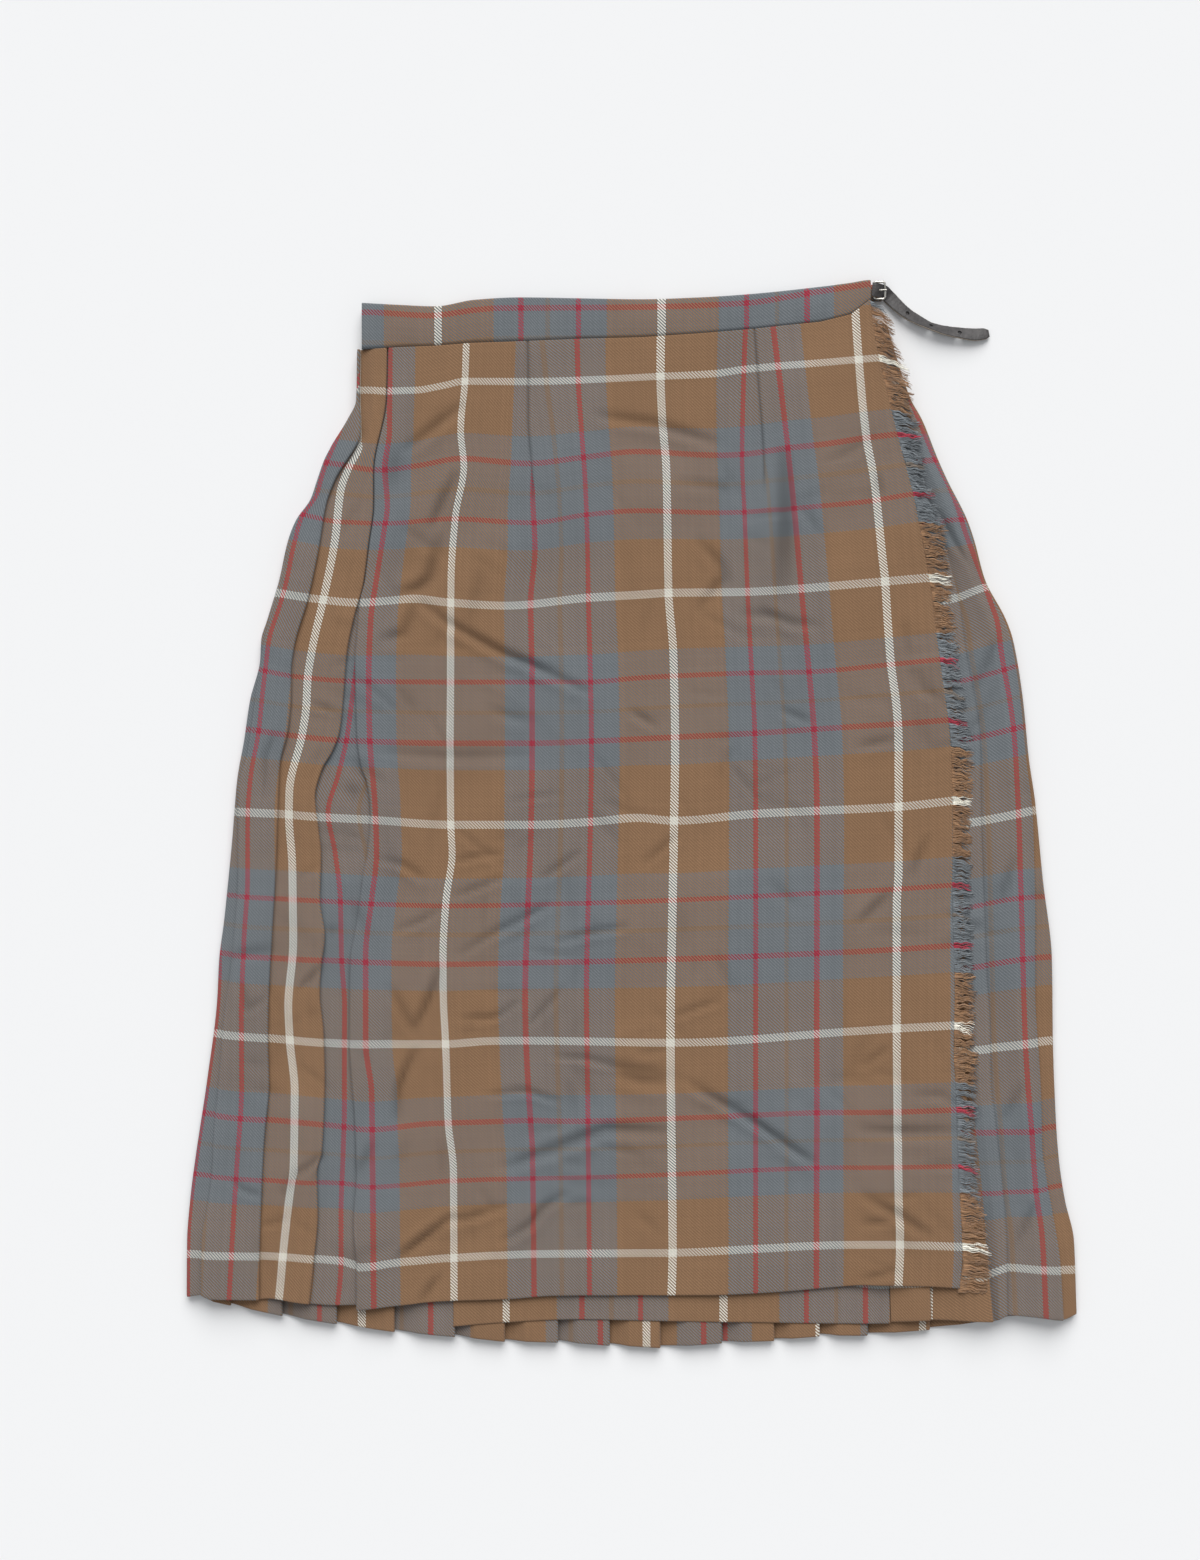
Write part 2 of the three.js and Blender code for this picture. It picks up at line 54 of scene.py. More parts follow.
CLOTH = 1.2
SEAM = 0.4
LEVEL_STEP = 1.6  # from one layer's middle to the next one's
FOLD_RADIUS = 0.8
ROW_STEP = 2.5  # from one row of the mesh to the next, down the skirt
SIDE_WRAP = 0.4
FRONT_SHARE, FRONT_MOST = 0.35, 10.5
BACK_SHARE, BACK_MOST = 0.55, 20.0
APRON_TURN = 9.0

FOLD_LEAD = 1.0  # from a fold's edge to where the next strip comes out
FOLD_CLEARANCE = 1.2  # from a hidden fold to the strip that rises over it
BEND_REACH = 40.0  # how far from its ends a piece bends to its top line and its hem
UNDER_LAP = 25.0  # how far the under apron's seam lies left of the first right fold

SETT = 138.3  # one repeat of the tartan
RED_1, RED_2 = 50.55, 87.75  # the middles of its two red lines
PITCH = 0.5  # from one thread to the next
HEM_V = 582.0  # the sett's row at the hem of the back and the under apron
CREASE_PAINTED_SHADE = 0.36  # the painted shade that the deepest crease takes off the cloth's brightness

LEATHER = 1.6


def level(n):
    """The middle height of a layer. Level 0 lies on the table."""
    return CLOTH / 2 + n * LEVEL_STEP


def across(column):
    return (np.asarray(column, float) - COLUMN_0) * SQUARE


def down(row):
    return (ROW_0 - np.asarray(row, float)) * SQUARE


def ease(t):
    t = np.clip(t, 0.0, 1.0)
    return t * t * (3 - 2 * t)


def smooth(points):
    """A smooth curve through (key, value) points. It doesn't overshoot, and runs on straight."""
    keys, values = np.array(points, float).T
    steps = np.diff(keys)
    slopes = np.diff(values) / steps
    tangents = np.zeros_like(keys)
    before, after = slopes[:-1], slopes[1:]
    same = before * after > 0
    total = np.where(same, before + after, 1.0)
    tangents[1:-1] = np.where(same, 2 * before * after / total, 0.0)
    tangents[0], tangents[-1] = slopes[0], slopes[-1]

    def at(key):
        key = np.asarray(key, float)
        i = np.clip(np.searchsorted(keys, key, side="right") - 1, 0, len(steps) - 1)
        t = (key - keys[i]) / steps[i]
        s = np.clip(t, 0.0, 1.0)
        h = steps[i]
        value = (1 + 2 * s) * (1 - s) ** 2 * values[i] + s * s * (3 - 2 * s) * values[i + 1]
        value = value + h * (s * (1 - s) ** 2 * tangents[i] - s * s * (1 - s) * tangents[i + 1])
        return value + (t - s) * h * np.where(t < 0, tangents[0], tangents[-1])

    return at


def downward(points):
    """A line that runs down the skirt, from (row, column) points. It gives x at a height y."""
    curve = smooth([(row, float(across(column))) for row, column in points])
    return lambda y: curve(ROW_0 - np.asarray(y, float) / SQUARE)


def crosswise(points):
    """A line that runs across the skirt, from (column, row) points. It gives y at a place x."""
    curve = smooth([(column, float(down(row))) for column, row in points])
    return lambda x: curve(np.asarray(x, float) / SQUARE + COLUMN_0)


def along(points):
    """Straight stretches between (x, y) points, level past the ends."""
    xs, ys = np.array(points, float).T
    return lambda x: np.interp(x, xs, ys)


# ---- the skirt's edges and folds ----------------------------------------------------------------

# left and right are the outline. turn and f1 to f3 are the left folds' edges, gu and g0 to g2 the
# right ones'. edge is the over apron's rim, and tip is where its fringe ends.
left = downward([
    (350, 357), (400, 356), (420, 347), (440, 335), (460, 324), (480, 317), (500, 310), (520, 296),
    (540, 288), (580, 279), (620, 267), (640, 261), (660, 260), (700, 250), (740, 244), (780, 237),
    (840, 232), (920, 224), (960, 219), (1000, 217), (1080, 207), (1160, 195), (1200, 190),
    (1240, 187), (1300, 186.5),
])
right = downward([
    (325, 887), (368, 899.8), (400, 911), (420, 922), (460, 938), (480, 947), (520, 967),
    (540, 974), (580, 985), (620, 1006), (640, 1013), (700, 1023), (760, 1029), (800, 1035),
    (880, 1043), (960, 1052), (1040, 1053), (1120, 1056), (1160, 1059), (1200, 1065),
    (1240, 1074), (1310, 1076.5),
])
turn = downward([
    (350, 357.7), (400, 356.8), (420, 348.2), (450, 330), (480, 318.2), (499, 311.6), (520, 297.5),
    (540, 289.5), (558, 286), (600, 274.6), (650, 263.4),
    (699, 256), (760, 247), (776, 241.6), (794, 238.5), (840, 239), (879, 239), (917, 236.5),
    (975, 231), (1019, 225), (1081, 220), (1132, 215), (1173, 213), (1203, 209), (1240, 202.5),
    (1297, 201.8),
])
f1 = downward([
    (350, 360.4), (398, 360.0), (420, 361.2), (436, 361.4), (450, 354.8), (464, 345.5), (478, 337),
    (505, 327), (553, 319),
    (599, 309), (648, 295), (673, 292), (694, 292), (730, 289), (764, 281), (810, 279),
    (866, 277), (930, 273.5), (993, 270), (1039, 269), (1082, 270), (1142, 265), (1183, 263),
    (1264, 260.4), (1299, 260),
])
f2 = downward([
    (350, 387.6), (400, 386.6), (474, 374), (505, 374), (546, 369), (584, 364), (617, 355),
    (655, 347.5), (700, 344), (731, 340.6), (751, 333.5), (769, 323), (797, 316), (828, 319.4),
    (853, 322), (899, 321), (935, 325.8), (968, 322), (993, 320.7), (1032, 324.5), (1082, 325.8),
    (1150, 323), (1171, 318), (1213, 318.8), (1264, 314), (1299, 310),
])
f3 = downward([
    (350, 388.5), (400, 387.5), (474, 375), (505, 375), (546, 370), (584, 365), (599, 361),
    (635, 357.6), (661, 355.7), (699, 356.4), (738, 357.7), (766, 361.5), (784, 368), (815, 371),
    (853, 368), (873, 364), (904, 360), (935, 355), (955, 351), (1006, 350), (1039, 350),
    (1081, 352.6), (1111, 355), (1173, 357), (1224, 354), (1264, 357), (1307, 357),
])
edge = downward([
    (301, 869.1), (340, 874), (361, 878), (394, 886), (444, 898), (501, 913), (528, 918),
    (588, 929), (636, 935), (674, 940), (731, 948), (760, 950), (838, 951), (896, 950.5),
    (944, 952), (992, 953), (1050, 952), (1088, 954), (1176, 957), (1252, 960.6), (1286, 958),
])
tip = downward([
    (298, 880), (315, 889.4), (331, 893), (367, 907), (412, 912), (432, 918), (480, 925),
    (518, 940), (574, 948), (632, 954), (664, 958), (703, 963.5), (750, 971), (798, 971),
    (830, 968), (906, 970), (992, 973), (1030, 972), (1069, 974), (1137, 974), (1204, 980),
    (1262, 988), (1281, 984), (1296, 970),
])
gu = downward([
    (325, 829.4), (400, 843.8), (450, 855), (499, 864.6), (558, 874.2), (650, 886.2), (760, 897.4),
    (819, 901.4), (950, 910.2), (1019, 915), (1099, 919.8), (1179, 925.4), (1310, 930.2),
])
g0 = downward([
    (325, 850.2), (400, 871), (450, 887), (499, 903), (558, 918.2), (650, 931.8), (760, 947),
    (819, 949.4), (950, 954.2), (1099, 966.2), (1179, 975), (1240, 984.6), (1310, 991.8),
])
g1 = downward([
    (325, 864.6), (368, 875.8), (398, 885.4), (450, 905.4), (499, 927), (558, 947), (603, 958),
    (655, 965), (682, 970), (712, 976), (741, 979), (808, 980), (877, 982), (927, 984),
    (973, 985.5), (1021, 989), (1080, 990), (1118, 994), (1156, 998), (1202, 1003),
    (1243, 1005.6), (1312, 1006.5),
])
g2 = downward([
    (325, 884.5), (368, 897.3), (400, 908.5), (420, 919.5), (460, 935.5), (480, 944.5), (520, 964.5),
    (540, 971.5), (580, 982.5), (620, 1003), (640, 1010), (700, 1019.5), (760, 1025.4), (820, 1032),
    (916, 1034),
    (992, 1034), (1059, 1038), (1097, 1040), (1147, 1041), (1176, 1045), (1233, 1055),
    (1262, 1059), (1319, 1062.6),
])

waist_seam = along([
    (-168, 290.3), (-144.5, 291.6), (-122.5, 292.5), (-97.5, 294.4), (-69.5, 295.3), (-32, 296.9),
    (5.5, 297.8), (43, 300.3), (80.5, 303.4), (118, 307.2), (137, 311.9), (149.3, 321.6),
])
waist_top = smooth([
    (-168, 319.4), (-144.5, 318.1), (-122.5, 317.2), (-97.5, 321.3), (-69.5, 322.8), (-32, 322.2),
    (5.5, 321.6), (43, 322.8), (80.5, 325.3), (118, 329.1), (137, 331.6), (149.3, 333.4), (157, 333.4),
])
SIDE_TOP = 306.0
TOP_GAP = 0.12  # from the skirt's top edges to the waistband

left_hem = smooth([
    (-278, -301.5), (-268, -300.0), (-262, -302.3), (-232, -302.6), (-226, -301.9), (-205, -304.6),
    (-185, -306.2), (-160, -305.6),
])
apron_hem = smooth([
    (-173, -309.2), (-145, -306.3), (-119, -303.6), (-79, -302.2), (-45, -299.9), (44, -299.7),
    (87, -298.0), (125, -294.9), (147, -293.0), (178, -293.4), (205, -294.9),
])
under_hem = smooth([
    (-111, -319.7), (-79, -317.2), (-35, -315.3), (24, -316.4), (78, -317.2), (127, -317.8),
    (185, -317.2),
])
right_hem = smooth([
    (160, -316.8), (187, -315.3), (225.5, -316.2), (235, -312.4), (255, -313.6), (270, -315.3),
    (278, -312.2),
])


def side_top(x):
    return np.minimum(waist_seam(x) - TOP_GAP, SIDE_TOP)


# The back pleats, one row per fold edge: how far across the back it lies, its hem, and the sett's
# column where the strip after it comes out.
BACK_PLEATS = [
    (0.050, -307.0, 10.6), (0.108, -313.5, 64.6), (0.169, -318.5, 122.7), (0.234, -323.5, 203.5),
    (0.302, -326.5, 233.3), (0.358, -329.5, 284.6), (0.418, -330.0, 338.0), (0.476, -332.0, 391.8),
    (0.533, -333.4, 438.6), (0.602, -330.5, 500.7), (0.661, -329.0, 524.9), (0.712, -326.0, 561.2),
    (0.766, -325.5, 657.2), (0.836, -322.0, 700.0), (0.907, -315.5, 760.0),
]
BACK_HEM_ENDS = (-301.5, -312.0)
BACK_START = 4.0  # the sett's column where the back begins

# ---- the tartan's lines --------------------------------------------------------------------------

# Lines down the over apron, each with its column of the sett.
APRON_LINES = [
    (-50.55, [(350, 390), (432, 390), (470, 385), (507, 388), (533, 384.5), (579, 377), (622, 371),
              (681, 369), (737, 370), (807, 375.6), (853, 377), (899, 372), (955, 366), (1042, 366),
              (1091, 372), (1173, 373), (1305, 374)]),
    (0.0, [(350, 466), (381, 465), (432, 460.5), (467, 464), (518, 455), (578, 451), (682, 450.6),
           (743, 450), (823, 450.6), (853, 452), (899, 446), (955, 443), (1000, 443.5), (1043, 445.7),
           (1120, 448), (1170, 453.5), (1297, 454)]),
    (50.55, [(350, 540), (384, 538.5), (430, 537.5), (490, 532.5), (550, 535), (603, 530.5), (682, 532),
             (743, 532), (820, 531), (1000, 525), (1043, 526), (1119, 530.3), (1152, 532.5),
             (1290, 534)]),
    (87.75, [(350, 577), (384, 578), (430, 581), (490, 585), (550, 587), (603, 588), (682, 590),
             (743, 591), (820, 590), (1000, 586), (1076, 587), (1290, 589)]),
    (138.3, [(298, 661), (377, 660), (423, 662), (470, 666), (528, 667), (593, 668), (655, 673),
             (750, 674.6), (820, 673.6), (1042, 670), (1251, 672), (1295, 671)]),
    (188.85, [(304, 746), (367, 743.5), (455, 741.6), (514, 744), (592, 747), (672, 751), (733, 754),
              (814, 755), (1290, 755)]),
    (226.05, [(310, 770), (367, 777), (447, 786.5), (509, 793), (588, 800), (672, 808), (729, 813),
              (808, 816), (1290, 815.5)]),
    (276.6, [(300, 853), (316, 854), (363, 857), (409, 861), (442, 865), (480, 872), (509, 875.5),
             (555, 880), (581, 883), (626, 886), (664, 889), (712, 895), (741, 896.5), (868, 896.5),
             (906, 894.6), (1027, 894.6), (1088, 895), (1195, 896.5), (1243, 898), (1281, 896.5)]),
]

# The waist darts: the line each lies on, the height of its tip, and how much cloth it takes in for
# each mm above the tip.
DARTS = [
    {"line": downward([(341, 527.8), (384, 528.4), (419, 528.4), (490, 533), (640, 533), (1290, 533)]),
     "tip": float(down(490)), "rate": 0.231},
    {"line": downward([(328, 753), (331, 753.2), (480, 763.6), (640, 764), (1290, 764)]),
     "tip": float(down(480)), "rate": 0.231},
]

# Lines across the over apron and the left pleats, each with its row of the sett.
CROSS_LINES = [
    (0.0, [(340, 390), (359, 390), (387, 392), (416, 391), (445, 386), (465, 382), (528, 382),
           (600, 380), (661, 377), (715, 374), (743, 370), (810, 365), (880, 359)]),
    (50.55, [(340, 465), (378, 471), (420, 466), (462, 459), (528, 464), (583, 458), (638, 452),
             (719, 456), (742, 455), (787, 449), (818, 446), (864, 439), (898, 435)]),
    (87.75, [(300, 514), (340, 522), (386, 524), (453, 519), (531, 523), (587, 515), (638, 511),
             (719, 513), (793, 509), (868, 502), (898, 497)]),
    (138.3, [(277, 593), (309, 598), (359, 603), (416, 599), (451, 603), (506, 606), (587, 598),
             (638, 595), (668, 593), (747, 592), (799, 589), (883, 582), (930, 578)]),
    (188.85, [(258, 669), (293, 676), (351, 681), (451, 682), (590, 682), (638, 678), (673, 676),
              (751, 673), (808, 672), (887, 665), (937, 660)]),
    (226.05, [(248, 729), (290, 735), (339, 740), (451, 743), (532, 743), (591, 741), (674, 737),
              (754, 733), (813, 729), (893, 724), (946, 720)]),
    (276.6, [(236, 811), (280, 813), (318, 816), (374, 819), (451, 824), (531, 824), (591, 821),
             (638, 817), (674, 820), (755, 813), (816, 810), (896, 806), (950, 800)]),
    (327.15, [(225, 894), (248, 896), (321, 900), (372, 903), (446, 905), (560, 903), (700, 898),
              (820, 892), (895, 888), (950, 884)]),
    (364.35, [(222, 952), (244, 955), (344, 960), (443, 963), (560, 961), (700, 957), (820, 952),
              (895, 948), (952, 944)]),
    (414.9, [(216, 1033), (290, 1039), (349, 1043), (444, 1043), (491, 1040), (525, 1039.6),
             (560, 1040), (670, 1042), (895, 1027), (952, 1024)]),
    (465.45, [(205, 1112), (242, 1117), (297, 1120), (373, 1128), (430, 1122), (499, 1120),
              (531, 1119), (560, 1120), (700, 1116), (820, 1111), (895, 1110), (954, 1108)]),
    (502.65, [(195, 1173), (238, 1177), (293, 1180), (342, 1182), (373, 1185), (454, 1179),
              (640, 1174), (820, 1166), (954, 1164)]),
    (553.2, [(188, 1253), (284, 1255), (311, 1257), (344, 1260), (360, 1265), (395, 1261),
             (454, 1256), (540, 1252), (672, 1251), (756, 1247), (815, 1244), (894, 1242),
             (958, 1244)]),
]

# The same lines on the right pleats.
RIGHT_CROSS_LINES = [
    (0.0, [(830, 384), (1060, 374)]),
    (50.55, [(880, 465), (960, 459), (1060, 455)]),
    (87.75, [(890, 526), (960, 520), (1060, 517)]),
    (138.3, [(890, 606), (951, 599), (984, 587), (1000, 584), (1080, 580)]),
    (188.85, [(900, 690), (960, 681), (1003, 670), (1016, 666), (1080, 660)]),
    (226.05, [(900, 747), (967, 739), (1011, 729), (1025, 726), (1080, 722)]),
    (276.6, [(900, 829), (968, 822), (1017, 813), (1031, 810), (1080, 806)]),
    (327.15, [(900, 912), (968, 906), (1020, 897), (1043, 896), (1080, 895)]),
    (364.35, [(900, 970), (971, 966), (1021, 958), (1050, 956), (1080, 955)]),
    (414.9, [(900, 1053), (975, 1049), (1023, 1043), (1052, 1040), (1080, 1039)]),
    (465.45, [(900, 1133), (976, 1131), (1029, 1130), (1053, 1126), (1080, 1125)]),
    (502.65, [(900, 1194), (976, 1192), (1034, 1189), (1057, 1185), (1080, 1183)]),
    (553.2, [(900, 1282), (983, 1275), (1006, 1266), (1042, 1268), (1072, 1269), (1080, 1269)]),
]

# A coloured line down each of four pleats, three on the left side and one on the right.
l1_red = downward([
    (400, 352), (440, 337), (475, 323), (495, 317.5), (504, 312), (515, 304), (524, 300), (540, 296),
    (550, 293.5), (579, 288), (602, 282), (640, 270),
    (671, 266), (699, 263), (730, 260), (776, 252), (815, 249), (879, 249), (942, 245.5),
    (1019, 243), (1081, 243), (1173, 237.6), (1295, 230.4),
])
l2_white = downward([
    (350, 345), (400, 349), (425, 354), (440, 357.5), (448, 359.3), (469, 349), (492, 341),
    (538, 336), (597, 324.5), (648, 313), (681, 308), (705, 307),
    (733, 303), (792, 290), (815, 289.6), (866, 293),
    (942, 294), (1006, 289), (1044, 291), (1091, 295.7), (1166, 294.7), (1193, 290.6),
    (1244, 284.5), (1293, 280),
])
l3_red = downward([
    (600, 366), (700, 352.6), (738, 347.5), (776, 338.6), (812, 329), (853, 336), (899, 341),
    (955, 342), (1006, 345), (1101, 345), (1152, 343.7), (1213, 341.6), (1260, 341.6),
    (1301, 337.6),
])
r2_red = downward([
    (325, 893), (380, 909), (400, 910), (412, 914.5), (460, 934.5), (490, 949.5), (506, 956),
    (530, 963), (554, 972), (583, 983), (599, 988), (624, 996), (655, 1000), (703, 1008.5), (731, 1012),
    (779, 1015), (827, 1017), (896, 1019), (973, 1021), (1040, 1023), (1107, 1027.6),
    (1128, 1029.5), (1189, 1034), (1233, 1040), (1315, 1044),
])
# The sett's column across the under apron and the waistband, and the waistband's red line.
under_column = along([(across(c), u) for c, u in [
    (398, -67.5), (506, 0.0), (581.5, 50.55), (640, 87.75), (723, 138.3), (806, 188.85),
    (865, 226.05), (936, 276.6), (1000, 316.6),
]])
band_column = along([(across(c), u) for c, u in [
    (350, -55.0), (438, 0.0), (521, 50.55), (547, 69.15), (578, 87.75), (606, 104.6),
    (661, 138.3), (746, 188.85), (806, 226.05), (880, 272.3),
]])
band_red = crosswise([
    (350, 313), (367, 313), (430, 316.5), (475, 311), (500, 309), (640, 308), (745, 304),
    (806, 295), (872, 285), (900, 281),
])

# ---- drape ---------------------------------------------------------------------------------------

# Broad swells of the front: centre, half sizes, the turn of the long side, and the height.
SWELLS = [
    (-60, 80, 120, 45, -25, 1.1), (95, 170, 90, 30, 80, 0.9), (40, -60, 110, 50, 15, 1.0),
    (120, -190, 90, 40, -30, 1.2), (-120, -150, 110, 35, 70, 1.1), (-235, -60, 160, 14, 84, 1.3),
    (-205, -190, 90, 12, 95, 1.0), (236, -90, 150, 13, 96, 1.2), (-130, 190, 60, 22, 60, 0.8),
    (20, 200, 70, 30, -20, 0.7), (-20, -220, 80, 30, 10, 0.6),
]

# Creases of the front: depth, half width, and (column, row) points along each.
CREASES = [
    (1.1, 5.0, [(407, 451), (432, 430), (462, 407)]),
    (0.8, 7.0, [(396, 452), (393, 492)]),
    (1.1, 4.0, [(455, 476), (443, 502), (432, 528)]),
    (1.3, 5.0, [(440, 540), (430, 578), (420, 588), (403, 594)]),
    (1.5, 4.5, [(422, 603), (447, 622), (503, 653), (531, 664), (585, 691)]),
    (0.9, 5.0, [(416, 605), (405, 634), (384, 640)]),
    (0.5, 6.0, [(374, 752), (450, 757), (531, 755)]),
    (1.1, 5.0, [(600, 417), (654, 424), (715, 444)]),
    (1.7, 7.0, [(783, 458), (784, 530), (781, 600)]),
    (0.9, 5.0, [(701, 544), (720, 565), (724, 578), (700, 609)]),
    (0.8, 5.0, [(742, 615), (772, 616), (791, 624), (816, 626)]),
    (0.9, 4.0, [(632, 712), (657, 727)]),
    (0.8, 4.0, [(782, 710), (808, 722)]),
    (0.8, 4.0, [(875, 476), (879, 499)]),
    (0.7, 4.0, [(858, 747), (893, 740)]),
    (0.9, 4.0, [(925, 839), (910, 875)]),
    (0.9, 4.0, [(887, 893), (858, 923)]),
    (0.9, 6.0, [(862, 1128), (908, 1131), (954, 1130)]),
    (1.1, 5.0, [(864, 1195), (895, 1212), (927, 1233)]),
    (0.7, 4.0, [(862, 1223), (893, 1218)]),
    (0.7, 4.0, [(862, 1279), (893, 1269)]),
    (1.0, 3.5, [(446, 1220), (466, 1218), (507, 1205)]),
    (1.5, 3.5, [(452, 1215), (425, 1236), (398, 1257)]),
    (0.8, 3.0, [(395, 931), (422, 921), (443, 907)]),
    (0.8, 3.5, [(401, 861), (423, 879)]),
    (1.2, 2.6, [(462, 1018.5), (484, 1018.5), (499, 1015), (519, 1000)]),
    (1.2, 2.8, [(554, 1056), (587, 1058), (614, 1065), (640, 1069), (657, 1071)]),
    (1.1, 2.6, [(489, 1094), (522, 1090), (534, 1092), (552.5, 1099), (562, 1100)]),
    (0.6, 2.4, [(543, 1129), (561, 1127)]),
    (1.5, 3.2, [(416, 1048), (407, 1067), (399, 1088), (397, 1120)]),
    (1.5, 3.2, [(440.6, 968), (424, 1011), (414, 1030)]),
    (0.9, 3.0, [(455, 862), (478, 856), (503, 853)]),
    (0.9, 3.0, [(455, 896), (485, 885), (503, 877)]),
    (1.0, 3.2, [(501, 933), (526, 916), (550, 904)]),
    (1.0, 3.2, [(556, 942), (587, 933), (627, 926)]),
    (0.9, 3.0, [(378, 858), (401, 864), (422, 877)]),
    (1.0, 3.4, [(541, 879), (560, 866), (579, 852)]),
    (1.0, 3.4, [(531, 1023), (546, 1006), (562, 988)]),
    (0.9, 3.2, [(644, 864), (660, 850), (677, 835)]),
    (0.9, 3.0, [(673, 1017), (692, 1009), (719, 1000)]),
    (1.7, 4.0, [(694, 1087), (719, 1100), (745, 1115), (780, 1139), (812, 1162)]),
    (0.7, 2.8, [(638, 1053), (667, 1050)]),
    (0.8, 3.0, [(860, 1067), (887, 1046)]),
    (0.8, 4.0, [(374, 1142), (361, 1171)]),
    (0.8, 3.0, [(313, 704), (336, 712)]),
    (0.9, 3.0, [(301, 1173), (323, 1154)]),
    (0.9, 2.6, [(262, 1226), (282, 1220), (293, 1209)]),
    (0.8, 3.0, [(277, 733), (267, 756), (266, 797)]),
    (0.9, 3.0, [(244, 983), (249, 1010), (267, 996)]),
    (0.9, 2.8, [(233.5, 1181), (248, 1190), (262, 1195)]),
    (0.8, 2.8, [(323, 965), (301.6, 988)]),
    (0.9, 2.8, [(303, 1166), (290.6, 1183), (282, 1195)]),
    (0.8, 2.6, [(361, 771), (350, 804)]),
    (0.8, 2.6, [(343.7, 828), (366, 843)]),
    (0.8, 2.6, [(336, 909), (336, 924), (326, 940)]),
    (0.8, 4.0, [(996, 640), (975, 690)]),
    (0.9, 4.0, [(1012, 860), (998, 905)]),
    (0.8, 4.0, [(1020, 1085), (1002, 1120)]),
    (0.9, 3.4, [(1032, 1205), (1015, 1245)]),
    (1.4, 5.5, [(507, 1166), (552, 1149), (581, 1137), (606, 1128), (667, 1131)]),
    (1.2, 4.0, [(504, 1240), (530, 1224), (542, 1208), (565, 1192)]),
    (0.9, 4.0, [(392, 987), (408, 1019), (418, 1036)]),
    (0.9, 3.5, [(460, 955), (482, 940), (504, 927), (542, 912)]),
    (0.9, 3.2, [(441, 1272), (431, 1286), (421, 1301)]),
    (1.0, 3.0, [(938, 512), (952, 540), (966, 562)]),
    (1.2, 7.0, [(610, 1068), (640, 1078), (668, 1080)]),
]

FIELD_STEP = 1.25
FIELD_X, FIELD_Y = 292.0, 346.0
field_xs = np.arange(-FIELD_X, FIELD_X + FIELD_STEP, FIELD_STEP)
field_ys = np.arange(-FIELD_Y, FIELD_Y + FIELD_STEP, FIELD_STEP)


def press(field, depth, width, points, dark=None, strength=0.0):
    """Press one crease into a field of heights: a soft trough with a low ridge along one side.

    dark is a second field, of painted shade, which gets the crease's strength along the trough.
    """
    reach = 4.5 * width
    xs, ys = np.array(points, float).T
    c0, c1 = np.searchsorted(field_xs, [xs.min() - reach, xs.max() + reach])
    r0, r1 = np.searchsorted(field_ys, [ys.min() - reach, ys.max() + reach])
    if c1 <= c0 or r1 <= r0:
        return
    gx, gy = np.meshgrid(field_xs[c0:c1], field_ys[r0:r1])
    lengths = np.hypot(np.diff(xs), np.diff(ys))
    starts = np.concatenate([[0.0], np.cumsum(lengths)])
    nearest = np.full(gx.shape, 1e9)
    side = np.zeros(gx.shape)
    place = np.zeros(gx.shape)
    for i, length in enumerate(lengths):
        dx, dy = (xs[i + 1] - xs[i]) / length, (ys[i + 1] - ys[i]) / length
        t = np.clip((gx - xs[i]) * dx + (gy - ys[i]) * dy, 0.0, length)
        ox, oy = gx - xs[i] - t * dx, gy - ys[i] - t * dy
        distance = np.hypot(ox, oy)
        closer = distance < nearest
        nearest = np.where(closer, distance, nearest)
        side = np.where(closer, ox * dy - oy * dx, side)
        place = np.where(closer, (starts[i] + t) / starts[-1], place)
    signed = np.where(side < 0, -nearest, nearest)
    fade = np.sin(np.pi * np.clip(place * 0.92 + 0.04, 0, 1)) ** 0.6
    trough = np.exp(-((signed / (0.55 * width)) ** 2))
    ridge = np.exp(-(((signed - 1.15 * width) / (0.8 * width)) ** 2))
    field[r0:r1, c0:c1] += depth * fade * (0.4 * ridge - trough)
    if dark is not None:
        line = strength * fade * np.exp(-((signed / (0.75 * width)) ** 2))
        dark[r0:r1, c0:c1] = np.maximum(dark[r0:r1, c0:c1], line)


def ripples(field, rng, lengths, height):
    """Low waves in every direction, so that no stretch is quite flat."""
    gx, gy = np.meshgrid(field_xs, field_ys)
    for length in lengths:
        angle = rng.uniform(0, math.pi)
        phase = rng.uniform(0, 2 * math.pi)
        bend = rng.uniform(0.6, 1.4)
        wave = gx * math.cos(angle) + gy * math.sin(angle) + 9 * np.sin(gy / 71 * bend + phase)
        field += height * length / 60 * np.sin(2 * math.pi * wave / length + phase)


def wandering(rng, xs, ys, turn, lengths, most_bend):
    """Points along a short crease at a random place. turn is its angle's mean and spread."""
    x, y = rng.uniform(*xs), rng.uniform(*ys)
    angle = rng.normal(*turn)
    step = rng.uniform(*lengths) / 3
    bend = rng.uniform(-most_bend, most_bend)
    points = [(x, y)]
    for _ in range(3):
        x, y = x + step * math.cos(angle), y + step * math.sin(angle)
        angle += bend / 3
        points.append((x, y))
    return points


def above_zero(field, softness):
    """A field whose low parts are turned up softly, so that none goes below zero."""
    return 0.5 * (field + np.sqrt(field * field + softness))


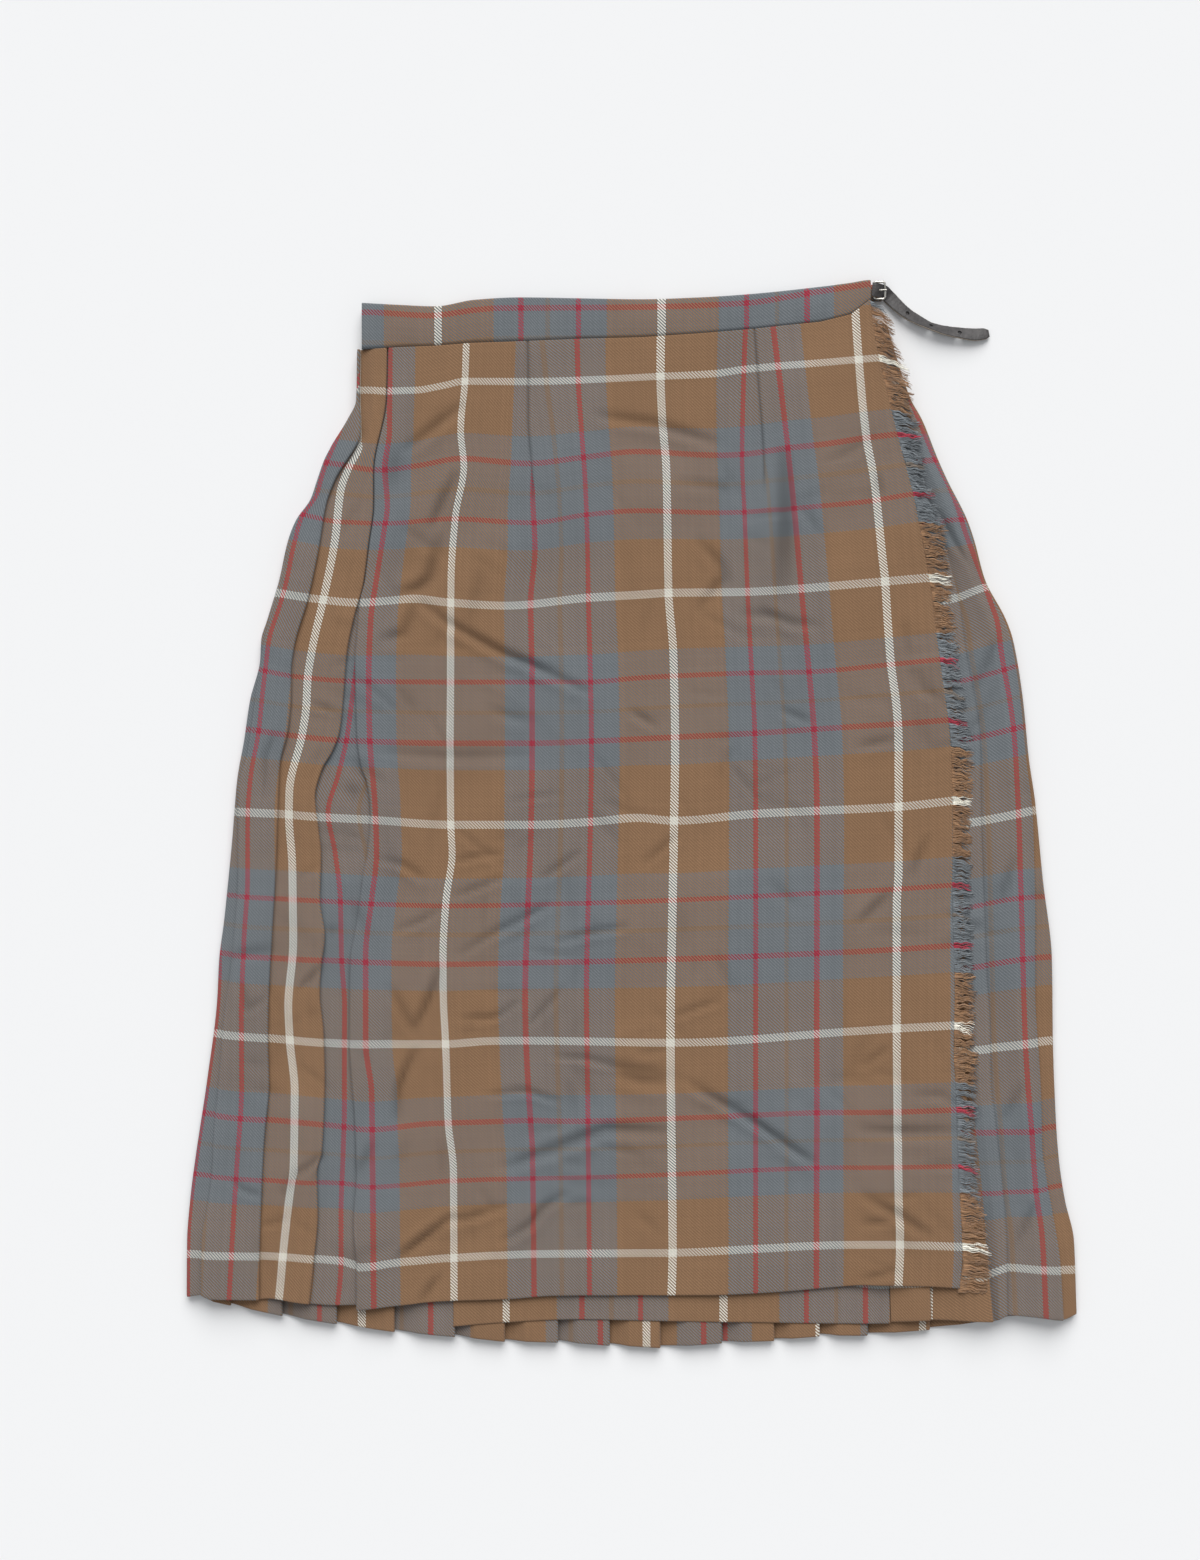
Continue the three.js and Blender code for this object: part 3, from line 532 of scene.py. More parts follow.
def front_field():
    """How far the front stands up, and how much painted shade its creases get."""
    rng = np.random.default_rng(11)
    gx, gy = np.meshgrid(field_xs, field_ys)
    field = np.full(gx.shape, 1.75)
    dark = np.zeros(gx.shape)
    for x, y, long, short, angle, height in SWELLS:
        a = math.radians(angle)
        p = ((gx - x) * math.cos(a) + (gy - y) * math.sin(a)) / long
        q = ((gy - y) * math.cos(a) - (gx - x) * math.sin(a)) / short
        field += 1.5 * height * np.exp(-2 * (p * p + q * q))
    ripples(field, rng, [23, 31, 37, 44, 58, 71, 90], 0.15)
    for depth, width, points in CREASES:
        line = [(float(across(c)), float(down(r))) for c, r in points]
        press(field, 2.3 * depth, width, line, dark, min(depth / 1.4, 1.0))
    # short faint creases between the main ones
    for _ in range(170):
        points = wandering(rng, (-250, 250), (-285, 225), (-0.5, 0.8), (12, 44), 0.5)
        depth = rng.uniform(0.3, 0.95)
        press(field, depth, rng.uniform(2.8, 6.5), points, dark, 0.4 * depth)
    return above_zero(field, 0.12), dark


def back_field():
    rng = np.random.default_rng(29)
    field = np.full((len(field_ys), len(field_xs)), 0.35)
    ripples(field, rng, [29, 41, 57, 83, 120], 0.05)
    for _ in range(150):
        points = wandering(rng, (-260, 260), (-320, 260), (-0.9, 0.9), (14, 60), 0.6)
        press(field, rng.uniform(-0.5, 0.3), rng.uniform(3.0, 7.0), points)
    return above_zero(field, 0.03)


def sampled(field, x, y):
    column = np.clip((np.asarray(x) - field_xs[0]) / FIELD_STEP, 0, len(field_xs) - 1.001)
    row = np.clip((np.asarray(y) - field_ys[0]) / FIELD_STEP, 0, len(field_ys) - 1.001)
    c, r = column.astype(int), row.astype(int)
    a, b = column - c, row - r
    low = field[r, c] * (1 - a) + field[r, c + 1] * a
    high = field[r + 1, c] * (1 - a) + field[r + 1, c + 1] * a
    return low * (1 - b) + high * b


FRONT, CREASE_SHADE_FIELD = front_field()
BACK = back_field()


def painted_crease_shade(middle):
    """How much of its brightness the front cloth keeps at each point. It is less along a crease, where
    shade is painted in.
    """
    front = ease((middle[..., 2] - level(1)) / (level(3) - level(1)))
    return 1 - CREASE_PAINTED_SHADE * front * sampled(CREASE_SHADE_FIELD, middle[..., 0], middle[..., 1])


def back_lift(x, y):
    """How far every layer stands up from the table."""
    return sampled(BACK, x, y) * ease((288 - y) / 45)


def front_lift(x, y, top=None):
    """How far the front layers stand up from the back. It fades out at the sides and the waist."""
    inside = ease((x - left(y)) / 15) * ease((right(y) - x) / 15)
    top = waist_seam(x) if top is None else top
    return sampled(FRONT, x, y) * inside * ease((top - y) / 38)


def lifted(middle, share=1.0):
    """A grid of middle points stood up by the drape. Layers below the front take none of its part."""
    x, y, z = middle[..., 0], middle[..., 1], middle[..., 2]
    climb = ease((z - level(0.4)) / (level(2.6) - level(0.4)))
    out = middle.copy()
    out[..., 2] = z + back_lift(x, y) + share * climb * front_lift(x, y)
    return out


# ---- where a point of the cloth lies in the sett ------------------------------------------------

def sett_row(lines, x, y):
    """The sett's row at each point, from the lines across the cloth."""
    rows = [row for row, _ in lines]
    heights = [crosswise(points)(x) for _, points in lines]
    out = rows[0] + (heights[0] - y)
    for i in range(len(rows) - 1):
        t = (heights[i] - y) / (heights[i] - heights[i + 1])
        here = rows[i] + t * (rows[i + 1] - rows[i])
        out = np.where(t > 0, here, out)
    return np.where(y < heights[-1], rows[-1] + (heights[-1] - y), out)


def taken_in(dart, y):
    return np.maximum(y - dart["tip"], 0.0) * dart["rate"]


def apron_column(x, y, after):
    """The sett's column at each point of the over apron. after counts the darts left of the point."""
    shift = [0, taken_in(DARTS[0], y), taken_in(DARTS[0], y) + taken_in(DARTS[1], y)]
    columns = [column for column, _ in APRON_LINES]
    passed = [0, 0, 0, 1, 1, 1, 2, 2]
    places = [downward(points)(y) + shift[n] for (_, points), n in zip(APRON_LINES, passed)]
    x = x + np.choose(after, shift)
    out = columns[0] + (x - places[0])
    for i in range(len(columns) - 1):
        t = (x - places[i]) / (places[i + 1] - places[i])
        out = np.where(t > 0, columns[i] + t * (columns[i + 1] - columns[i]), out)
    return np.where(x > places[-1], columns[-1] + (x - places[-1]), out)


# ---- sections and shells --------------------------------------------------------------------------

def rounded(corners, counts, steps=4):
    """Points (a, z, u) along a section with round corners, one section per row of the arrays.

    corners holds (a, z, u) for each corner, a number or one value per row. counts holds how many
    equal parts each straight stretch has.
    """
    rows = max(np.size(value) for corner in corners for value in corner)
    p = np.array([[np.broadcast_to(v, (rows,)) for v in corner] for corner in corners], float)
    run = p[1:] - p[:-1]
    length = np.maximum(np.hypot(run[:, 0], run[:, 1]), 1e-6)
    ahead = run / length[:, None]
    starts, ends, bends = [p[0]], [], []
    for i in range(1, len(p) - 1):
        trim = np.minimum(FOLD_RADIUS, 0.46 * np.minimum(length[i - 1], length[i]))
        before = p[i] - ahead[i - 1] * trim
        after = p[i] + ahead[i] * trim
        ends.append(before)
        starts.append(after)
        bends.append((before, p[i], after))
    ends.append(p[-1])
    out = []
    for i, count in enumerate(counts):
        for k in range(count):
            t = k / count
            out.append(starts[i] * (1 - t) + ends[i] * t)
        if i < len(bends):
            a, b, c = bends[i]
            for k in range(steps):
                t = k / steps
                out.append(a * (1 - t) ** 2 + 2 * b * t * (1 - t) + c * t * t)
    out.append(p[-1])
    return np.moveaxis(np.array(out), (0, 1, 2), (1, 2, 0))


def heights(top, bottom, step=ROW_STEP):
    """Rows down a piece, closer together at its two ends."""
    inner = np.linspace(top - 1.4, bottom + 1.4, max(int((top - bottom) / step), 2))
    return np.concatenate([[top, top - 0.45], inner, [bottom + 0.45, bottom]])


def end_shares(nominal):
    """How far each row of a piece follows its top line, and how far its hem."""
    near_top = ease(1 - (nominal[0] - nominal) / BEND_REACH)
    return near_top, ease(1 - (nominal - nominal[-1]) / BEND_REACH)


def hung(xs, nominal, top_line, hem_line, hem_shift=0.0):
    """The height of each point: straight rows that bend to the top line and the hem near them."""
    near_top, near_hem = (share[:, None] for share in end_shares(nominal))
    y = nominal[:, None] + np.zeros_like(xs)
    y = y + (top_line(xs) - nominal[0]) * near_top
    return y + (hem_line(xs) + hem_shift - nominal[-1]) * near_hem


def unit(v):
    return v / np.maximum(np.linalg.norm(v, axis=-1, keepdims=True), 1e-9)


def add_mesh(name, points, faces, uvs=None):
    """A smooth mesh object. uvs holds the sett's column and row at each corner of each face."""
    mesh = bpy.data.meshes.new(name)
    mesh.from_pydata((np.array(points, float) / 1000).tolist(), [], faces)
    if uvs is not None:
        layer = mesh.uv_layers.new(name="cloth")
        layer.data.foreach_set("uv", np.array(uvs, np.float32).ravel())
    mesh.polygons.foreach_set("use_smooth", np.full(len(mesh.polygons), True))
    mesh.update()
    made = bpy.data.objects.new(name, mesh)
    bpy.context.scene.collection.objects.link(made)
    return made


def shell(name, middle, u, v, u_end=None, tone=1.0):
    """A closed skin of cloth round a grid of middle points, with the sett's column u and row v.

    u_end is the column at each face's far side, where a seam breaks the sett. tone is painted shade
    that darkens a point of the cloth, beside the painted shade of its creases.
    """
    rows, columns = middle.shape[:2]
    normal = unit(np.cross(np.gradient(middle, axis=0), np.gradient(middle, axis=1)))
    # the cloth thins a little to its edges
    thick = np.full((rows, columns), CLOTH / 2)
    for r, share in ((0, 0.85), (1, 0.97), (-2, 0.88), (-1, 0.55)):
        thick[r] *= share
    thick[:, [0, -1]] *= 0.8
    offset = normal * thick[..., None]
    points = np.concatenate([(middle + offset).reshape(-1, 3), (middle - offset).reshape(-1, 3)])
    index = np.arange(2 * rows * columns).reshape(2, rows, columns)
    start = u[:, :-1]
    end = u[:, 1:] if u_end is None else u_end
    up, low = index
    uv_a = np.stack([start, v[:, :-1]], -1)
    uv_b = np.stack([end, v[:, 1:]], -1)

    def grid(a, b, c, d):
        return np.stack([a, b, c, d], -1).reshape(-1, 4)

    def grid_uv(a, b, c, d):
        return np.stack([a, b, c, d], -2).reshape(-1, 4, 2)

    faces = [
        grid(up[:-1, :-1], up[1:, :-1], up[1:, 1:], up[:-1, 1:]),
        grid(low[:-1, :-1], low[:-1, 1:], low[1:, 1:], low[1:, :-1]),
        grid(up[:-1, 0], low[:-1, 0], low[1:, 0], up[1:, 0]),
        grid(up[:-1, -1], up[1:, -1], low[1:, -1], low[:-1, -1]),
        grid(up[0, :-1], up[0, 1:], low[0, 1:], low[0, :-1]),
        grid(up[-1, :-1], low[-1, :-1], low[-1, 1:], up[-1, 1:]),
    ]
    uvs = [
        grid_uv(uv_a[:-1], uv_a[1:], uv_b[1:], uv_b[:-1]),
        grid_uv(uv_a[:-1], uv_b[:-1], uv_b[1:], uv_a[1:]),
        grid_uv(uv_a[:-1, 0], uv_a[:-1, 0], uv_a[1:, 0], uv_a[1:, 0]),
        grid_uv(uv_b[:-1, -1], uv_b[1:, -1], uv_b[1:, -1], uv_b[:-1, -1]),
        grid_uv(uv_a[0], uv_b[0], uv_b[0], uv_a[0]),
        grid_uv(uv_a[-1], uv_a[-1], uv_b[-1], uv_b[-1]),
    ]
    made = add_mesh(name, points, np.concatenate(faces).tolist(), np.concatenate(uvs))
    # painted shade of the creases and of tone, kept at each point for the wool's colour
    painted_shades = (painted_crease_shade(middle) * tone).ravel()
    layer = made.data.attributes.new("painted_crease_shade", "FLOAT", "POINT")
    layer.data.foreach_set("value", np.concatenate([painted_shades, painted_shades]).astype(np.float32))
    return made


def cut_of(middle):
    """The flat cut of a grid of middle points: its width and length, and its area, in metres."""
    widths = np.linalg.norm(np.diff(middle, axis=1), axis=-1)
    lengths = np.linalg.norm(np.diff(middle, axis=0), axis=-1)
    area = float((0.5 * (widths[1:] + widths[:-1]) * 0.5 * (lengths[:, 1:] + lengths[:, :-1])).sum())
    width, length = float(widths.sum(1).max()), float(lengths.sum(0).max())
    return (width / 1000, length / 1000), min(area, width * length) / 1e6


# ---- materials --------------------------------------------------------------------------------------

def linear(r, g, b):
    """A colour for a shader from its 0 to 255 parts."""
    parts = [c / 255 for c in (r, g, b)]
    return (*[c / 12.92 if c <= 0.04045 else ((c + 0.055) / 1.055) ** 2.4 for c in parts], 1.0)


class Nodes:
    """Short names for making a material's nodes."""

    def __init__(self, name):
        self.material = bpy.data.materials.new(name)
        self.material.use_nodes = True
        self.tree = self.material.node_tree
        self.shader = self.tree.nodes["Principled BSDF"]

    def add(self, kind, **settings):
        node = self.tree.nodes.new("ShaderNode" + kind)
        for key, value in settings.items():
            setattr(node, key, value)
        return node

    def link(self, source, target):
        self.tree.links.new(source, target)

    def feed(self, socket, value):
        if isinstance(value, bpy.types.NodeSocket):
            self.link(value, socket)
        else:
            socket.default_value = value

    def math(self, operation, a, b=0.0, c=None):
        node = self.add("Math", operation=operation)
        self.feed(node.inputs[0], a)
        self.feed(node.inputs[1], b)
        if c is not None:
            self.feed(node.inputs[2], c)
        return node.outputs[0]

    def mix(self, factor, a, b, blend="MIX"):
        node = self.add("Mix", data_type="RGBA", blend_type=blend)
        self.feed(node.inputs[0], factor)
        self.feed(node.inputs[6], a)
        self.feed(node.inputs[7], b)
        return node.outputs[2]

    def uv(self):
        node = self.add("UVMap", uv_map="cloth")
        split = self.add("SeparateXYZ")
        self.link(node.outputs[0], split.inputs[0])
        return split.outputs[0], split.outputs[1]

    def texture(self, kind, **values):
        """A texture in the object's own space, with its inputs' values by name."""
        node = self.add(kind)
        self.link(self.add("TexCoord").outputs["Object"], node.inputs["Vector"])
        for name, value in values.items():
            node.inputs[name].default_value = value
        return node.outputs

    def noise(self, scale, detail, roughness):
        return self.texture("TexNoise", Scale=scale, Detail=detail, Roughness=roughness)["Fac"]

    def arch(self, t):
        """4 t (1 - t): nought at both ends of a thread and one in its middle."""
        return self.math("MULTIPLY", self.math("MULTIPLY", t, self.math("SUBTRACT", 1.0, t)), 4.0)

    def toned(self, tone, value, gain, base):
        """A tone times (gain times value, plus base)."""
        return self.math("MULTIPLY", tone, self.math("MULTIPLY_ADD", value, gain, base))

    def ramp(self, value, *stops):
        """The colour at a value between two stops, each a position and a colour."""
        node = self.add("ValToRGB")
        for element, (position, colour) in zip(node.color_ramp.elements, stops):
            element.position, element.color = position, colour
        self.link(value, node.inputs[0])
        return node.outputs[0]

    def bump(self, height, strength, distance):
        node = self.add("Bump")
        node.inputs["Strength"].default_value = strength
        node.inputs["Distance"].default_value = distance
        self.link(height, node.inputs["Height"])
        self.link(node.outputs[0], self.shader.inputs["Normal"])

    def finish(self, colour, roughness, **fixed):
        """Feed the shader. fixed holds its other inputs by name, with _ for each space."""
        self.feed(self.shader.inputs["Base Color"], colour)
        self.feed(self.shader.inputs["Roughness"], roughness)
        for name, value in fixed.items():
            self.shader.inputs[name.replace("_", " ")].default_value = value
        return self.material


# The yarns, as they would look in a full white light.
YARN = {
    "white": linear(199, 196, 186),
    "brown": linear(127, 98, 73),
    "blue": linear(102, 107, 111),
    "red": linear(144, 47, 62),
    "rust": linear(110, 100, 91),
}

# One repeat of the sett: where each stripe starts, and its yarn.
STRIPES = [
    (0.0, "white"), (2.7, "brown"), (33.7, "blue"), (49.1, "red"), (52.0, "blue"), (67.7, "rust"),
    (70.6, "blue"), (86.3, "red"), (89.2, "blue"), (104.6, "brown"), (135.6, "white"),
]


def stripe_colour(n, position, white=2.7):
    """The yarn colour at a position of the sett. white is half the width of the white line."""
    ramp = n.add("ValToRGB")
    ramp.color_ramp.interpolation = "CONSTANT"
    elements = ramp.color_ramp.elements
    while len(elements) > 1:
        elements.remove(elements[-1])
    elements[0].position = 0.0
    elements[0].color = YARN[STRIPES[0][1]]
    starts = [start for start, _ in STRIPES]
    starts[1], starts[-1] = white, SETT - white
    for start, (_, yarn) in list(zip(starts, STRIPES))[1:]:
        elements.new(start / SETT).color = YARN[yarn]
    n.link(n.math("FRACT", n.math("DIVIDE", position, SETT)), ramp.inputs[0])
    return ramp.outputs[0]


def thread_tone(n, index, seed):
    """A slightly different tone for each thread."""
    tone = n.add("TexWhiteNoise", noise_dimensions="1D")
    n.link(n.math("ADD", index, seed), tone.inputs["W"])
    return tone.outputs["Value"]


def wool_material(name):
    """A 2/2 twill of the sett, with its ribs, uneven threads and a little nap, and painted shade on its
    ribs and creases.
    """
    n = Nodes(name)
    u, v = n.uv()
    warp, weft = n.math("DIVIDE", u, PITCH), n.math("DIVIDE", v, PITCH)
    i, j = n.math("FLOOR", warp), n.math("FLOOR", weft)
    step = n.math("FLOORED_MODULO", n.math("SUBTRACT", i, j), 4.0)
    over = n.math("LESS_THAN", step, 1.5)
    colour_u = stripe_colour(n, n.math("MULTIPLY", n.math("ADD", i, 0.5), PITCH))
    colour_v = stripe_colour(n, n.math("MULTIPLY", n.math("ADD", j, 0.5), PITCH), 2.4)
    colour = n.mix(over, colour_v, colour_u)

    tone = n.mix(over, thread_tone(n, j, 311.0), thread_tone(n, i, 97.0))
    patchy, fibre = n.noise(26.0, 3.0, 0.6), n.noise(1500.0, 2.0, 0.6)
    shade = n.math("MULTIPLY_ADD", tone, 0.13, 0.90)
    shade = n.toned(shade, patchy, 0.16, 0.92)
    shade = n.toned(shade, fibre, 0.30, 0.85)
    # painted shade: a thread is darker where it dives under the next one
    fu, fv = n.math("FRACT", warp), n.math("FRACT", weft)
    crown = n.mix(over, n.arch(fv), n.arch(fu))
    shade = n.toned(shade, crown, 0.30, 0.82)
    # each float of two threads swells in its middle, and painted shade darkens its ends, so the twill's
    # ribs run across the cloth
    run_u = n.math("MULTIPLY", n.math("SUBTRACT", n.math("ADD", step, 1.0), fv), 0.5)
    run_v = n.math("MULTIPLY", n.math("ADD", n.math("SUBTRACT", step, 2.0), fu), 0.5)
    swelling = n.arch(n.mix(over, run_v, run_u))
    shade = n.toned(shade, swelling, 0.52, 0.64)
    # painted light and shade: warp floats are lighter than weft floats
    shade = n.toned(shade, over, 0.36, 0.84)
    # painted shade along the creases and the dart seams, from the points' attribute
    crease = n.add("Attribute", attribute_name="painted_crease_shade").outputs["Fac"]
    n.bump(n.math("MULTIPLY_ADD", fibre, 0.35, n.math("ADD", crown, swelling)), 0.35, 0.00012)
    return n.finish(
        n.mix(1.0, colour, n.math("MULTIPLY", shade, crease), "MULTIPLY"),
        n.math("MULTIPLY_ADD", patchy, 0.12, 0.82),
        Specular_IOR_Level=0.18, Sheen_Weight=0.16, Sheen_Roughness=0.5,
        Sheen_Tint=(0.93, 0.95, 1.0, 1.0),
    )


def fringe_material():
    """Loose weft yarns: each has its own colour of the sett, painted lighter than the cloth's yarn, with
    twist and fuzz.
    """
    n = Nodes("wool_fringe_yarn")
    u, v = n.uv()
    colour = stripe_colour(n, v)
    tone = thread_tone(n, n.math("FLOOR", n.math("MULTIPLY", v, 2.3)), 53.0)
    twist = n.math("SINE", n.math("MULTIPLY_ADD", u, 5.2, n.math("MULTIPLY", v, 3.0)))
    fibre = n.noise(1800.0, 2.0, 0.6)
    # painted light: the yarns are drawn 1.25 to 1.95 times as light as in the cloth, to lift the shade
    # among the dense strands
    shade = n.math("MULTIPLY_ADD", tone, 0.7, 1.25)
    # painted light and shade in bands along each yarn's twist
    shade = n.toned(shade, twist, 0.06, 1.0)
    shade = n.toned(shade, fibre, 0.24, 0.88)
    n.bump(n.math("ADD", twist, fibre), 0.4, 0.0001)
    return n.finish(
        n.mix(1.0, colour, shade, "MULTIPLY"), n.math("MULTIPLY_ADD", fibre, 0.1, 0.86),
        Specular_IOR_Level=0.15, Sheen_Weight=0.25, Sheen_Roughness=0.5,
    )


def leather_material():
    n = Nodes("strap_leather_face")
    grain, folds = n.noise(900.0, 4.0, 0.62), n.noise(240.0, 3.0, 0.55)
    cells = n.texture("TexVoronoi", Scale=1300.0)["Distance"]
    worn = n.math("MULTIPLY_ADD", folds, 0.6, n.math("MULTIPLY", grain, 0.4))
    height = n.math("ADD", n.math("MULTIPLY", cells, 0.8), grain)
    n.bump(n.math("MULTIPLY_ADD", folds, 1.4, height), 0.55, 0.00025)
    return n.finish(
        n.ramp(worn, (0.35, linear(30, 28, 29)), (0.72, linear(70, 66, 66))),
        n.math("MULTIPLY_ADD", grain, 0.3, 0.36),
    )


def cut_edge_material():
    n = Nodes("strap_leather_cut_edge")
    fibre = n.noise(1400.0, 4.0, 0.7)
    n.bump(fibre, 0.4, 0.0001)
    return n.finish(n.ramp(fibre, (0.0, linear(120, 108, 96)), (1.0, linear(196, 184, 168))), 0.8)


def metal_material():
    n = Nodes("buckle_nickel")
    wear, scratch = n.noise(700.0, 4.0, 0.6), n.noise(4200.0, 2.0, 0.5)
    n.bump(scratch, 0.12, 0.00005)
    return n.finish(
        n.ramp(wear, (0.3, linear(150, 146, 138)), (0.7, linear(214, 212, 206))),
        n.math("MULTIPLY_ADD", wear, 0.22, 0.18), Metallic=1.0,
    )


def floor_material():
    n = Nodes("pale_table")
    return n.finish((0.775, 0.78, 0.79, 1.0), 0.9, Specular_IOR_Level=0.1)


WOOL = wool_material("wool_tartan_twill")


def dress(made, slot, node, *materials):
    """A piece on the fixed body, with its finish, standing for its CAD node."""
    for material in materials:
        made.data.materials.append(material)
    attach(made, "root")
    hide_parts(node)
    return made


def sewn(name, node, middle, u, v, **more):
    """A cloth piece and the flat cut it is made from."""
    made = shell(name, middle, u, v, **more)
    return dress(made, "wool_tartan", node, WOOL), cut_of(middle)


# ---- the pleated pieces -------------------------------------------------------------------------------

def wrap(y):
    return SIDE_WRAP * BACK_PLEATS[0][0] * (right(y) - left(y))


def knife_pleats(start, u_start, folds, strips, share, most, low):
    """Corners and counts through knife pleats.

    The sett steps on at the inner fold, so that it lies true on both sides of every strip. Each
    strip runs right over the next one to its fold edge, turns back under itself and goes on as
    that next strip. strips holds (column of the sett at the fold edge, and where the next comes out).
    """
    corners = [(start, level(low), u_start)]
    counts = []
    before = start
    u_before = u_start
    for fold, (u_fold, u_next) in zip(folds, strips):
        under = np.minimum(most, share * (fold - before))
        outer = fold - CLOTH / 2
        inner = outer - under
        width = fold - before

        def on_strip(x, a=before, w=width, ua=u_before, ub=u_fold):
            return ua + (ub - ua) * (x - a) / w

        first, climbed = before + FOLD_LEAD, inner - FOLD_CLEARANCE
        corners += [
            (first, level(low), on_strip(first)),
            (climbed, level(low + 2), on_strip(climbed)),
            (outer, level(low + 2), u_fold),
            (outer, level(low + 1), u_fold + 1.0),
            (inner, level(low + 1), u_fold + 1.0 + under),
            (inner, level(low), u_next - under),
        ]
        counts += [1, 5, 4, 1, 3, 1]
        before, u_before = fold, u_next
    corners.append((before + FOLD_LEAD, level(low), u_before))
    counts.append(3)
    return corners, counts


def middle_of(section, nominal, top_line, hem_line, hem_shift=0.0, share=1.0):
    """The middle grid of a piece from its sections, bent to its top and hem, and draped."""
    x, z = section[..., 0], section[..., 1]
    y = hung(x, nominal, top_line, hem_line, hem_shift)
    return lifted(np.stack([x, y, z], -1), share)


def pleats_back():
    y = heights(295, -302, 6.0)
    start = left(y) + wrap(y)
    folds = [left(y) + (right(y) - left(y)) * share for share, _, _ in BACK_PLEATS]
    strips = []
    u_now = BACK_START
    for before, fold, (_, _, column) in zip([start, *folds], folds, BACK_PLEATS):
        strips.append((u_now + (fold - before), column))
        u_now = column
    corners, counts = knife_pleats(start, BACK_START, folds, strips, BACK_SHARE, BACK_MOST, 0)
    # the hidden back takes fewer parts than the front
    counts = [1 if c == 1 else max(c - 1, 2) for c in counts]
    end = right(y) - wrap(y)
    corners.append((end, level(0), u_now + (end - folds[-1])))
    counts.append(3)
    section = rounded(corners, counts, steps=3)
    fold_hems = [(float(f[-1]), row[1]) for f, row in zip(folds, BACK_PLEATS)]
    hem_line = along([
        (float(left(y[-1])), BACK_HEM_ENDS[0]), *fold_hems, (float(right(y[-1])), BACK_HEM_ENDS[1]),
    ])
    # each strip's hem starts a little higher than the edge of the fold over it
    shift = np.zeros(section.shape[1])
    last_x = section[-1, :, 0]
    edges = [float(line[-1]) for line in (start, *folds, end)]
    for a, b in zip(edges[:-1], edges[1:]):
        inside = (last_x >= a) & (last_x <= b)
        shift[inside] = 0.7 * (1 - (last_x[inside] - a) / (b - a)) ** 1.5
    middle = middle_of(section, y, side_top, hem_line, shift[None, :])
    v = HEM_V - (middle[..., 1] - hem_line(middle[..., 0]) - shift[None, :])
    return sewn("pleats_back_cloth", "pleats_back", middle, section[..., 2], v)


def pleats_left():
    y = heights(290.5, -302)
    side = left(y) + CLOTH / 2
    lap = np.minimum(0.27 * (f1(y) - turn(y)), 6.0)
    lip = turn(y) + CLOTH / 2
    # the sett's column at x is x plus one of these on each strip
    u_red = RED_2 - l1_red(y)
    u_white = SETT - l2_white(y)
    u_red3 = SETT + RED_1 - l3_red(y)
    at_lip, at_f1 = u_red + lip, u_red + f1(y)
    next_f1, at_f2 = u_white + f1(y), u_white + f2(y)
    next_f2 = u_red3 + f2(y)
    # below the middle the red line lies right on the side fold
    at_side = 54.6 - 3.9 * ease((-60 - y) / 40)
    inner1 = f1(y) - CLOTH / 2 - np.minimum(FRONT_MOST, FRONT_SHARE * (f1(y) - turn(y)))
    pleated, counts = knife_pleats(
        f1(y), next_f1, [f2(y)], [(at_f2, next_f2)], FRONT_SHARE, FRONT_MOST, 3)
    hidden = at_side + (lip - side)
    corners = [
        (left(y) + wrap(y) - SEAM, level(0), at_side - wrap(y) - 6),
        (side, level(0), at_side - 6),
        (side, level(3), at_side),
        (lip + lap, level(3), hidden + lap),
        (lip + lap, level(4), hidden + lap + 1),
        (lip, level(4), at_lip - 1.5),
        (lip, level(5), at_lip),
        (f1(y) - CLOTH / 2, level(5), at_f1),
        (f1(y) - CLOTH / 2, level(4), at_f1 + 0.04 * (next_f1 - at_f1)),
        (inner1, level(4), at_f1 + 0.48 * (next_f1 - at_f1)),
        (inner1, level(3), at_f1 + 0.52 * (next_f1 - at_f1)),
        *pleated[1:-1],
        (f3(y) + APRON_TURN, level(3), u_red3 + f3(y) + APRON_TURN),
    ]
    counts = [2, 2, 4, 1, 2, 1, 9, 1, 3, 1, 3, *counts[1:-1], 8]
    section = rounded(corners, counts)
    middle = middle_of(section, y, side_top, left_hem)
    v = sett_row(CROSS_LINES, middle[..., 0], middle[..., 1])
    return sewn("pleats_left_cloth", "pleats_left", middle, section[..., 2], v)


def pleats_right():
    y = heights(306, -314)
    # the sett's columns where the strips meet their folds
    red = SETT * 2 + RED_2 - r2_red(y)
    at_g1, after_g2 = SETT * 2 + 46.5, SETT * 2 + 117
    start = gu(y) - UNDER_LAP
    strips = [
        (under_column(gu(y)), under_column(gu(y)) + 6),
        (310.35, at_g1 - (g1(y) - g0(y))),
        (at_g1, red + g1(y)),
        (red + g2(y), after_g2),
    ]
    folds = [gu(y), g0(y), g1(y), g2(y)]
    corners, counts = knife_pleats(
        start, under_column(start), folds, strips, FRONT_SHARE, FRONT_MOST, 3)
    side = right(y) - CLOTH / 2
    at_side = after_g2 + (side - g2(y))
    # the last strip is narrow near the waist, so its first point stays inside the side fold
    first, low, column = corners[-1]
    corners[-1] = (np.minimum(first, 0.5 * (g2(y) + side)), low, column)
    corners += [
        (side, level(3), at_side),
        (side, level(0), at_side + 6),
        (right(y) - wrap(y) + SEAM, level(0), at_side + 6 + wrap(y)),
    ]
    counts[-1:] = [1, 2, 2, 2]
    section = rounded(corners, counts)
    middle = middle_of(section, y, side_top, right_hem)
    v = sett_row(RIGHT_CROSS_LINES, middle[..., 0], middle[..., 1])
    return sewn("pleats_right_cloth", "pleats_right", middle, section[..., 2], v)


# ---- the aprons ---------------------------------------------------------------------------------

